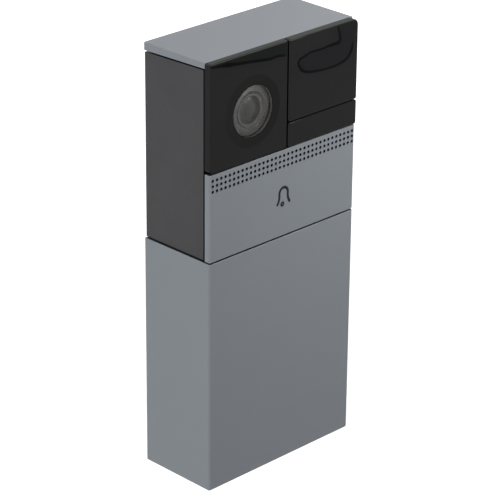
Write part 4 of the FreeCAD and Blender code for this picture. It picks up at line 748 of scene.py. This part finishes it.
def knurled_brass(name, node):
    material, graph = new_finish(name)
    middle = middle_of(node)
    x, y, z = graph.axes()
    around = z.math("ARCTAN2", y - middle.y, x - middle.x) * KNURL_RIDGES
    rise = z * KNURL_WAVES_UP
    diamonds = (around + rise).wave() * (around - rise).wave()
    dull = graph.ramp(graph.noise(0.8 * MM, 3), 0.4, 0.8)
    base = graph.mix(dull * 0.5, linear(206, 168, 92), linear(150, 112, 60))
    principled(graph, {"Base Color": base, "Roughness": 0.3 + dull * 0.15, "Metallic": 1.0,
                       "Normal": graph.bump(diamonds, 0.06 * MM, 0.6)})
    return material


dress("screw_insert", knurled_brass("knurled_brass", "screw_insert"))
print("insert:", size_in_mm("screw_insert"), "mm")

# %% [markdown]
# ## Gaskets and boots
# Foam and rubber are matt and never quite even. One function serves both: foam gets wide closed cells, rubber
# gets much finer ones, and each has a trace of pale bloom.


# %% Foam and rubber
def soft_foam(name, colour, pore=0.35 * MM):
    material, graph = new_finish(name)
    pores = graph.ramp(graph.cells(pore), 0.1, 0.6)
    bloom = graph.ramp(graph.noise(4 * MM, 3), 0.5, 0.8)
    base = graph.mix(pores * 0.7 + bloom * 0.3, times(colour, 0.6), times(colour, 1.3))
    principled(graph, {"Base Color": base, "Roughness": 0.85 + pores * 0.1,
                       "Specular IOR Level": 0.2, "Normal": graph.bump(pores, 0.06 * MM, 0.8)})
    return material


dress("chassis_gasket", soft_foam("gasket_foam", linear(26, 26, 27)))
dress("speaker_gasket", soft_foam("speaker_foam", linear(32, 32, 33), 0.45 * MM))
dress("microphone_boot", soft_foam("boot_rubber", linear(36, 36, 38), 0.15 * MM))
print("soft parts dressed, pieces so far:", len(dressed))

# %% [markdown]
# ## Speaker and microphone
# The cone is pressed paper: its rings are a sine of the distance from the middle, over fibres that lie every
# way. The microphone is a little metal can with a felt disc on its front.


# %% Cone and capsule
CONE_RING_PITCH = 0.9 * MM
FELT_RADIUS = 2.6 * MM
SPUN_WAVES = 60000


def paper_cone(name, node):
    material, graph = new_finish(name)
    pressed = rings(axis_distance(graph, node), 2 * math.pi / CONE_RING_PITCH)
    fibres = graph.noise(0.4 * MM, 4, 0.7)
    base = graph.mix(fibres, linear(34, 32, 30), linear(62, 58, 54))
    principled(graph, {"Base Color": base, "Roughness": 0.8 - pressed * 0.1,
                       "Specular IOR Level": 0.25,
                       "Normal": graph.bump(pressed + fibres * 0.5, 0.08 * MM, 0.6)})
    return material


def microphone_can(name, node):
    material, graph = new_finish(name)
    radius = axis_distance(graph, node)
    felt = front_face(graph) * radius.below(FELT_RADIUS)
    fibres = graph.noise(0.15 * MM, 3, 0.7)
    cloth = graph.mix(fibres, linear(16, 16, 16), linear(52, 52, 52))
    spun = rings(radius, SPUN_WAVES)
    can = graph.mix(spun * 0.4, linear(186, 188, 190), linear(150, 152, 154))
    principled(graph, {"Base Color": graph.mix(felt, can, cloth), "Roughness": 0.25 + felt * 0.65,
                       "Metallic": 1 - felt, "Normal": graph.bump(fibres * felt, 0.05 * MM, 0.6)})
    return material


dress("speaker_cone", paper_cone("paper_cone", "speaker_cone"))
dress("microphone", microphone_can("microphone_can", "microphone"))
print("sound parts dressed, pieces so far:", len(dressed))

# %% [markdown]
# ## Night lights and sensors
# The six diodes and the light sensor are cast in clear resin with a faint tint, so the metal cup inside
# shows as a pale core. The motion sensor is a tinned can with a dark window in its face.


# %% Diodes and motion sensor
PANE_HALF_WIDTH = 2.0 * MM
PANE_HALF_HEIGHT = 1.6 * MM


def cast_resin(name, tint, core):
    material, graph = new_finish(name)
    swirl = graph.noise(0.8 * MM, 2)
    base = graph.mix(graph.ramp(swirl, 0.35, 0.7), tint, core)
    principled(graph, {"Base Color": base, "Roughness": 0.06 + swirl * 0.08, "IOR": 1.53,
                       "Transmission Weight": 0.55, "Normal": graph.bump(swirl, 0.004 * MM, 0.3)})
    return material


def motion_can(name, node):
    material, graph = new_finish(name)
    pane = front_window(graph, node, PANE_HALF_WIDTH, PANE_HALF_HEIGHT)
    brushed = graph.noise(0.2 * MM, 3, 0.6, graph.stretched((0.08, 1, 1)))
    tin = graph.mix(brushed, linear(170, 166, 156), linear(204, 200, 190))
    principled(graph, {"Base Color": graph.mix(pane, tin, linear(24, 20, 30)),
                       "Roughness": 0.3 - pane * 0.2 + brushed * 0.05, "Metallic": 1 - pane,
                       "Normal": graph.bump(brushed, 0.005 * MM, 0.4)})
    return material


dress("infrared_leds", cast_resin("diode_resin", linear(120, 118, 136), linear(176, 172, 180)))
dress("light_sensor", cast_resin("light_sensor_resin", linear(176, 170, 150), linear(214, 206, 180)))
dress("motion_sensor", motion_can("motion_can", "motion_sensor"))
print("sensors dressed, pieces so far:", len(dressed))

# %% [markdown]
# ## The flat lead and the antenna
# Both are thin film with copper in it, amber for the lead and nearly black for the antenna. The lead has
# parallel lines all its length and an ivory plug at each end, and the antenna has a ladder of copper bars.


# %% Film with copper
AMBER = linear(178, 104, 34)
COPPER = linear(196, 128, 88)
LINE_PITCH = 0.5 * MM
UPPER_PLUG = 3.3 * MM
LOWER_PLUG = 3 * MM
BAR_PITCH = 3 * MM
BAR_SHARE = 0.28
BAR_HALF = 3.2 * MM
RAIL_PLACE = 2.8 * MM
RAIL_HALF = 0.35 * MM
FILM_MARGIN = 1.5 * MM


def film_lead(name, node):
    material, graph = new_finish(name)
    low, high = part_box(node)
    x, z = graph.axes("xz")
    line = lanes(graph, x, LINE_PITCH, 0.18, 0.26)
    plug = z.above(high.z - UPPER_PLUG).most(z.below(low.z + LOWER_PLUG))
    mottle = graph.noise(1.5 * MM, 3)
    film = graph.mix(line * 0.8, graph.shaded(AMBER, 0.85 + mottle * 0.3), COPPER)
    ivory = graph.mix(mottle, linear(206, 198, 178), linear(226, 220, 202))
    principled(graph, {"Base Color": graph.mix(plug, film, ivory), "Roughness": 0.3 + plug * 0.15,
                       "Metallic": line * (1 - plug) * 0.5,
                       "Normal": graph.bump(line * (1 - plug) + mottle * 0.1, 0.02 * MM, 0.6)})
    return material


def film_antenna(name, node):
    material, graph = new_finish(name)
    low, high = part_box(node)
    y, z = graph.axes("yz")
    bar = (((z - low.z) / BAR_PITCH).fraction() - 0.5).size().below(BAR_SHARE) * y.size().below(BAR_HALF)
    rail = (y.size() - RAIL_PLACE).size().below(RAIL_HALF)
    copper = bar.most(rail) * z.below(high.z - FILM_MARGIN) * z.above(low.z + FILM_MARGIN)
    mottle = graph.noise(1.2 * MM, 3)
    film = graph.shaded(linear(38, 36, 34), 0.85 + mottle * 0.3)
    principled(graph, {"Base Color": graph.mix(copper, film, COPPER), "Roughness": 0.36 + mottle * 0.1,
                       "Metallic": copper * 0.8, "Normal": graph.bump(copper, 0.02 * MM, 0.6)})
    return material


dress("camera_ribbon", film_lead("film_lead", "camera_ribbon"))
dress("wifi_antenna", film_antenna("film_antenna", "wifi_antenna"))
print("film parts dressed, pieces so far:", len(dressed))

# %% [markdown]
# ## The charging socket
# A stamped steel shell round a black tongue. The tongue is told from the shell by its place: it stands in
# the middle of the mouth, behind the front edge.


# %% Socket
SHELL_SKIN = 0.5 * MM
MOUTH_DEPTH = 0.4 * MM


def steel_socket(name, node):
    material, graph = new_finish(name)
    dx, _, dz = side_distances(graph, node)
    depth = graph.axes()[1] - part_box(node)[0].y
    tongue = dx.above(SHELL_SKIN) * dz.above(SHELL_SKIN) * depth.above(MOUTH_DEPTH)
    brushed = graph.noise(0.12 * MM, 3, 0.6, graph.stretched((1, 0.06, 1)))
    steel = graph.mix(brushed, linear(150, 150, 152), linear(192, 192, 194))
    principled(graph, {"Base Color": graph.mix(tongue, steel, linear(22, 22, 24)),
                       "Roughness": 0.24 + brushed * 0.12 + tongue * 0.25, "Metallic": 1 - tongue,
                       "Normal": graph.bump(brushed, 0.004 * MM, 0.4)})
    return material


dress("usb_socket", steel_socket("steel_socket", "usb_socket"))
print("socket:", size_in_mm("usb_socket"), "mm")

# %% [markdown]
# ## The cells
# Each cell is a steel can in a shrunk plastic sleeve that rolls over both ends, with a pale ring of card
# round the raised end. The distance from the cell's own axis tells sleeve, ring and steel apart. The sleeve
# is plain, with one paler band to show which end is which.


# %% Sleeved cells
END_FACING = 0.6
SLEEVE_HOLE = 7.9 * MM
BUTTON_RADIUS = 3.3 * MM
CARD_HOLE = 3.4 * MM
BAND_PLACE = 5 * MM
BAND_HALF = 1.2 * MM


def sleeved_cells(name, node):
    material, graph = new_finish(name)
    low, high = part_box(node)
    middle = middle_of(node)
    x, y, z = graph.axes()
    axis_x = high.x - (high.y - low.y) / 2
    radius = ((x.size() - axis_x) ** 2 + (y - middle.y) ** 2).root()
    end = graph.facing()[2].size().above(END_FACING)
    steel = (end * radius.below(SLEEVE_HOLE)).most(radius.below(BUTTON_RADIUS))
    right_cell = x.above(0)
    raised = right_cell * z.above(middle.z) + (1 - right_cell) * z.below(middle.z)
    card = steel * raised * radius.above(CARD_HOLE)
    from_raised_end = right_cell * (high.z - z) + (1 - right_cell) * (z - low.z)
    band = (from_raised_end - BAND_PLACE).size().below(BAND_HALF)
    shrink = graph.noise(0.9 * MM, 3, 0.6, graph.stretched((1, 1, 0.15)))
    sleeve = graph.shaded(linear(34, 92, 104), 0.85 + shrink * 0.3)
    banded = graph.mix(band, sleeve, linear(176, 190, 190))
    brushed = graph.noise(0.2 * MM, 3, 0.6)
    metal = graph.mix(brushed, linear(160, 160, 158), linear(200, 198, 192))
    ended = graph.mix(steel, banded, metal)
    principled(graph, {"Base Color": graph.mix(card, ended, linear(214, 208, 192)),
                       "Roughness": 0.28 + shrink * 0.1 + card * 0.4,
                       "Metallic": steel * (1 - card),
                       "Normal": graph.bump(shrink, 0.02 * MM, 0.4)})
    return material


dress("battery_cells", sleeved_cells("sleeved_cells", "battery_cells"))
print("dressed:", len(set(dressed)), "of", len(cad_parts),
      "still bare:", sorted(set(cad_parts) - set(dressed)))

# %% [markdown]
# ## Floor and backdrop
# The phone hangs on a wall in use, and its cover slides down by more than half its height. So it hangs free
# here too, and the plain pale floor lies just below the lowest place that the cover reaches. The sky and the
# floor are shown white to the camera and in reflections, while the light that they give is set by itself, so
# the paint renders about as dark as its colour is written. Far from the lamps the floor glows a little more,
# or else it would grey towards the horizon. Its underside is clear, so that the phone can be looked at from
# below as well.


# %% Floor and world
FLOOR_HALF = 4
FLOOR_Z = -0.082
PAPER = (0.66, 0.66, 0.66)
GLOW_NEAR = 0.6
GLOW_RISES = (0.2, 0.6)
WHITE = (1, 1, 1)
SKY_LIGHT = 0.05

floor_mesh = bpy.data.meshes.new("studio_floor")
floor_mesh.from_pydata([(-FLOOR_HALF, -FLOOR_HALF, 0), (FLOOR_HALF, -FLOOR_HALF, 0),
                        (FLOOR_HALF, FLOOR_HALF, 0), (-FLOOR_HALF, FLOOR_HALF, 0)], [], [(0, 1, 2, 3)])
floor = bpy.data.objects.new("studio_floor", floor_mesh)
floor.location.z = FLOOR_Z
bpy.context.scene.collection.objects.link(floor)


def seen_directly(graph):
    """1 for rays from the camera, a reflection or a glass, 0 for rays that only carry light."""
    paths = graph.tree.nodes.new("ShaderNodeLightPath")
    camera_ray, glossy_ray, glass_ray = [Signal(graph, paths.outputs[name]) for name in
                                         ("Is Camera Ray", "Is Glossy Ray", "Is Transmission Ray")]
    return camera_ray.most(glossy_ray).most(glass_ray)


floor_finish, graph = new_finish("studio_floor")
paper = graph.node("BsdfDiffuse", {}, {"Color": PAPER})
x, y = graph.axes("xy")
far = graph.ramp((x ** 2 + y ** 2).root(), *GLOW_RISES)
glow_strength = seen_directly(graph) * (GLOW_NEAR + far * (1 - GLOW_NEAR))
glow = graph.node("Emission", {}, {"Color": WHITE, "Strength": glow_strength})
lit_paper = graph.node("AddShader", {}, {0: paper, 1: glow})
from_below = graph.node("NewGeometry", output="Backfacing")
nothing = graph.node("BsdfTransparent")
one_sided = graph.node("MixShader", {}, {0: from_below, 1: lit_paper, 2: nothing})
graph.node("OutputMaterial", {}, {"Surface": one_sided})
floor_mesh.materials.append(floor_finish)

world = bpy.data.worlds.new("white_sky")
bpy.context.scene.world = world
graph = Graph(world)
sky_strength = SKY_LIGHT + seen_directly(graph) * (1 - SKY_LIGHT)
sky = graph.node("Background", {}, {"Color": WHITE, "Strength": sky_strength})
graph.node("OutputWorld", {}, {"Surface": sky})
print("floor", FLOOR_HALF * 2, "m wide at", FLOOR_Z, "m, sky light", SKY_LIGHT)

# %% [markdown]
# ## What the black plates mirror
# Polished black shows nothing of itself, only its surroundings, and an empty white floor makes it look flat.
# The plates in the picture mirror a few dark, wavy lines that lie in front of the phone. They could be
# painted on the plates, but then they would stay in place when the eye moves. Here each line is written as
# it should be seen on a plate, in millimetres across and up, with its thickness. The law of the mirror throws
# it onto a level plane at the foot of the phone, and the flat strip there is seen by reflections alone. The
# plates are a little darker above the left line and inside the right one, so a patch lies there as well. The
# shades are parts of the light that the floor sends into the same reflections.


# %% Mirrored lines
MIRRORED_FLOOR = 1.5
LINE_SHADE = (0.01, 0.014, 0.012)
LINE_WEIGHT = 1.4
LEFT_SHADE = (0.5, 0.6, 0.54)
RIGHT_SHADE = (0.66, 0.67, 0.7)
PATCH_DROP = 0.5 * MM
CORNER_CUT = 0.25
LEFT_LINE = [(-31, 139.0, 0.3), (-27, 138.7, 0.5), (-24, 138.3, 1.1), (-21, 137.8, 0.7),
             (-16, 137.2, 0.6), (-10, 136.4, 0.7), (-6, 135.8, 0.6), (-3.7, 136.2, 0.6),
             (-0.2, 135.5, 0.5)]
RIGHT_LINE = [(21.9, 139.5, 0.5), (23.2, 135.4, 0.8), (22.6, 134.1, 1.1), (20, 134.3, 0.7),
              (15, 133.9, 0.5), (10.5, 134.2, 0.5), (8, 133.5, 0.5), (5.2, 132.9, 0.6),
              (5.0, 131.0, 0.7), (7.6, 128.3, 0.6), (12.3, 127.5, 0.5), (18.1, 127.0, 0.4),
              (22.7, 127.2, 0.6), (26.5, 128.1, 0.7), (28.3, 130.5, 0.9), (28.6, 133, 0.4)]


def foot_seen_in_plate(x, z, plate_y):
    """The place level with the phone's foot that the camera sees mirrored at a point of a front plate."""
    point = Vector((x, plate_y, z))
    ray = point - camera.matrix_world.translation
    ray.y = -ray.y
    return point - ray * (z / ray.z)


def rounded(points, rounds=3):
    """A bent line with its corners cut again and again, until it runs smoothly."""
    for _ in range(rounds):
        cut = [points[0]]
        for first, second in zip(points, points[1:]):
            cut += [first.lerp(second, CORNER_CUT), first.lerp(second, 1 - CORNER_CUT)]
        points = cut + [points[-1]]
    return points


def mirrored_piece(name, corners, faces, shade):
    """A flat piece near the phone's foot that is seen by reflections alone."""
    mesh = bpy.data.meshes.new(name)
    mesh.from_pydata([corner[:] for corner in corners], [], faces)
    piece = bpy.data.objects.new(name, mesh)
    for kind in ("camera", "diffuse", "transmission", "volume_scatter", "shadow"):
        setattr(piece, "visible_" + kind, False)
    bpy.context.scene.collection.objects.link(piece)
    finish, graph = new_finish(name)
    tone = graph.shaded(shade, 0.9 + graph.noise(8 * MM) * 0.2)
    glow = graph.node("Emission", {}, {"Color": tone, "Strength": MIRRORED_FLOOR})
    graph.node("OutputMaterial", {}, {"Surface": glow})
    mesh.materials.append(finish)
    return piece


def line_on_plate(places):
    """A smooth line in metres, made of places that are across, up and thickness in mm."""
    return rounded([Vector((x, z, thickness * LINE_WEIGHT)) * MM for x, z, thickness in places])


def mirrored_strip(name, plate, places, shade):
    """A level strip that a plate mirrors as a line. Its places are those of line_on_plate."""
    plate_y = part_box(plate)[0].y
    line = line_on_plate(places)
    edges = []
    for before, here, after in zip(line[:1] + line, line, line[1:] + line[-1:]):
        along = (after - before).xy.normalized()
        across = Vector((-along.y, along.x)) * here.z / 2
        edges += [foot_seen_in_plate(here.x + side * across.x, here.y + side * across.y, plate_y)
                  for side in (-1, 1)]
    faces = [(i, i + 1, i + 3, i + 2) for i in range(0, len(edges) - 2, 2)]
    return mirrored_piece(name, edges, faces, shade)


def mirrored_patch(name, plate, places, corners, shade):
    """A level patch from a line to corners that are across and up in mm, a little below the strips."""
    plate_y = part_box(plate)[0].y
    outline = line_on_plate(places) + [Vector((x, z, 0)) * MM for x, z in corners]
    shore = [foot_seen_in_plate(point.x, point.y, plate_y) for point in outline]
    patch = mirrored_piece(name, shore, [tuple(range(len(shore)))], shade)
    patch.location.z = -PATCH_DROP
    return patch


MIRRORED = [mirrored_strip("mirrored_line_left", "camera_fascia", LEFT_LINE, LINE_SHADE),
            mirrored_strip("mirrored_line_right", "infrared_window", RIGHT_LINE, LINE_SHADE),
            mirrored_patch("mirrored_patch_left", "camera_fascia", LEFT_LINE,
                           [(1, 135.4), (1, 142), (-31, 142)], LEFT_SHADE),
            mirrored_patch("mirrored_patch_right", "infrared_window", RIGHT_LINE,
                           [(31.5, 133.5), (31.5, 142), (21.9, 142)], RIGHT_SHADE)]
print("mirrored pieces:", len(MIRRORED))

# %% [markdown]
# ## Lamps
# One large lamp overhead makes the cap the brightest face. A small one close to the right front gives the
# front its slow change from bright at the upper right to dark at the lower left. The lamp on the left opens
# the side wall, and gloss doesn't mirror it, or else it would whiten the cap for an eye on the right. A weak
# one at the right rear keeps the back from going flat.


# %% Lamps
def lamp(name, place, size, watts, colour=WHITE, aim=MIDDLE, mirrored=True):
    """A square soft lamp that faces the phone. The camera doesn't see it, nor gloss if it isn't mirrored."""
    light = bpy.data.lights.new(name, "AREA")
    light.shape = "SQUARE"
    light.size = size
    light.energy = watts
    light.color = colour
    made = bpy.data.objects.new(name, light)
    made.location = place
    made.rotation_euler = (aim - Vector(place)).to_track_quat("-Z", "Y").to_euler()
    made.visible_camera = False
    made.visible_glossy = mirrored
    bpy.context.scene.collection.objects.link(made)
    return made


BRIGHT_CORNER = Vector((0.01, 0, 0.09))
LAMPS = [lamp("lamp_overhead", (0.05, 0.15, 1.15), size=0.7, watts=6.2, colour=(1, 0.97, 0.95)),
         lamp("lamp_left", (-1.0, -0.2, 0.45), size=0.6, watts=8, mirrored=False),
         lamp("lamp_front_right", (0.085, -0.15, 0.165), size=0.08, watts=0.19, aim=BRIGHT_CORNER),
         lamp("lamp_behind", (1.0, 0.4, 0.5), size=0.6, watts=3)]
print("lamps:", len(LAMPS))

# %% [markdown]
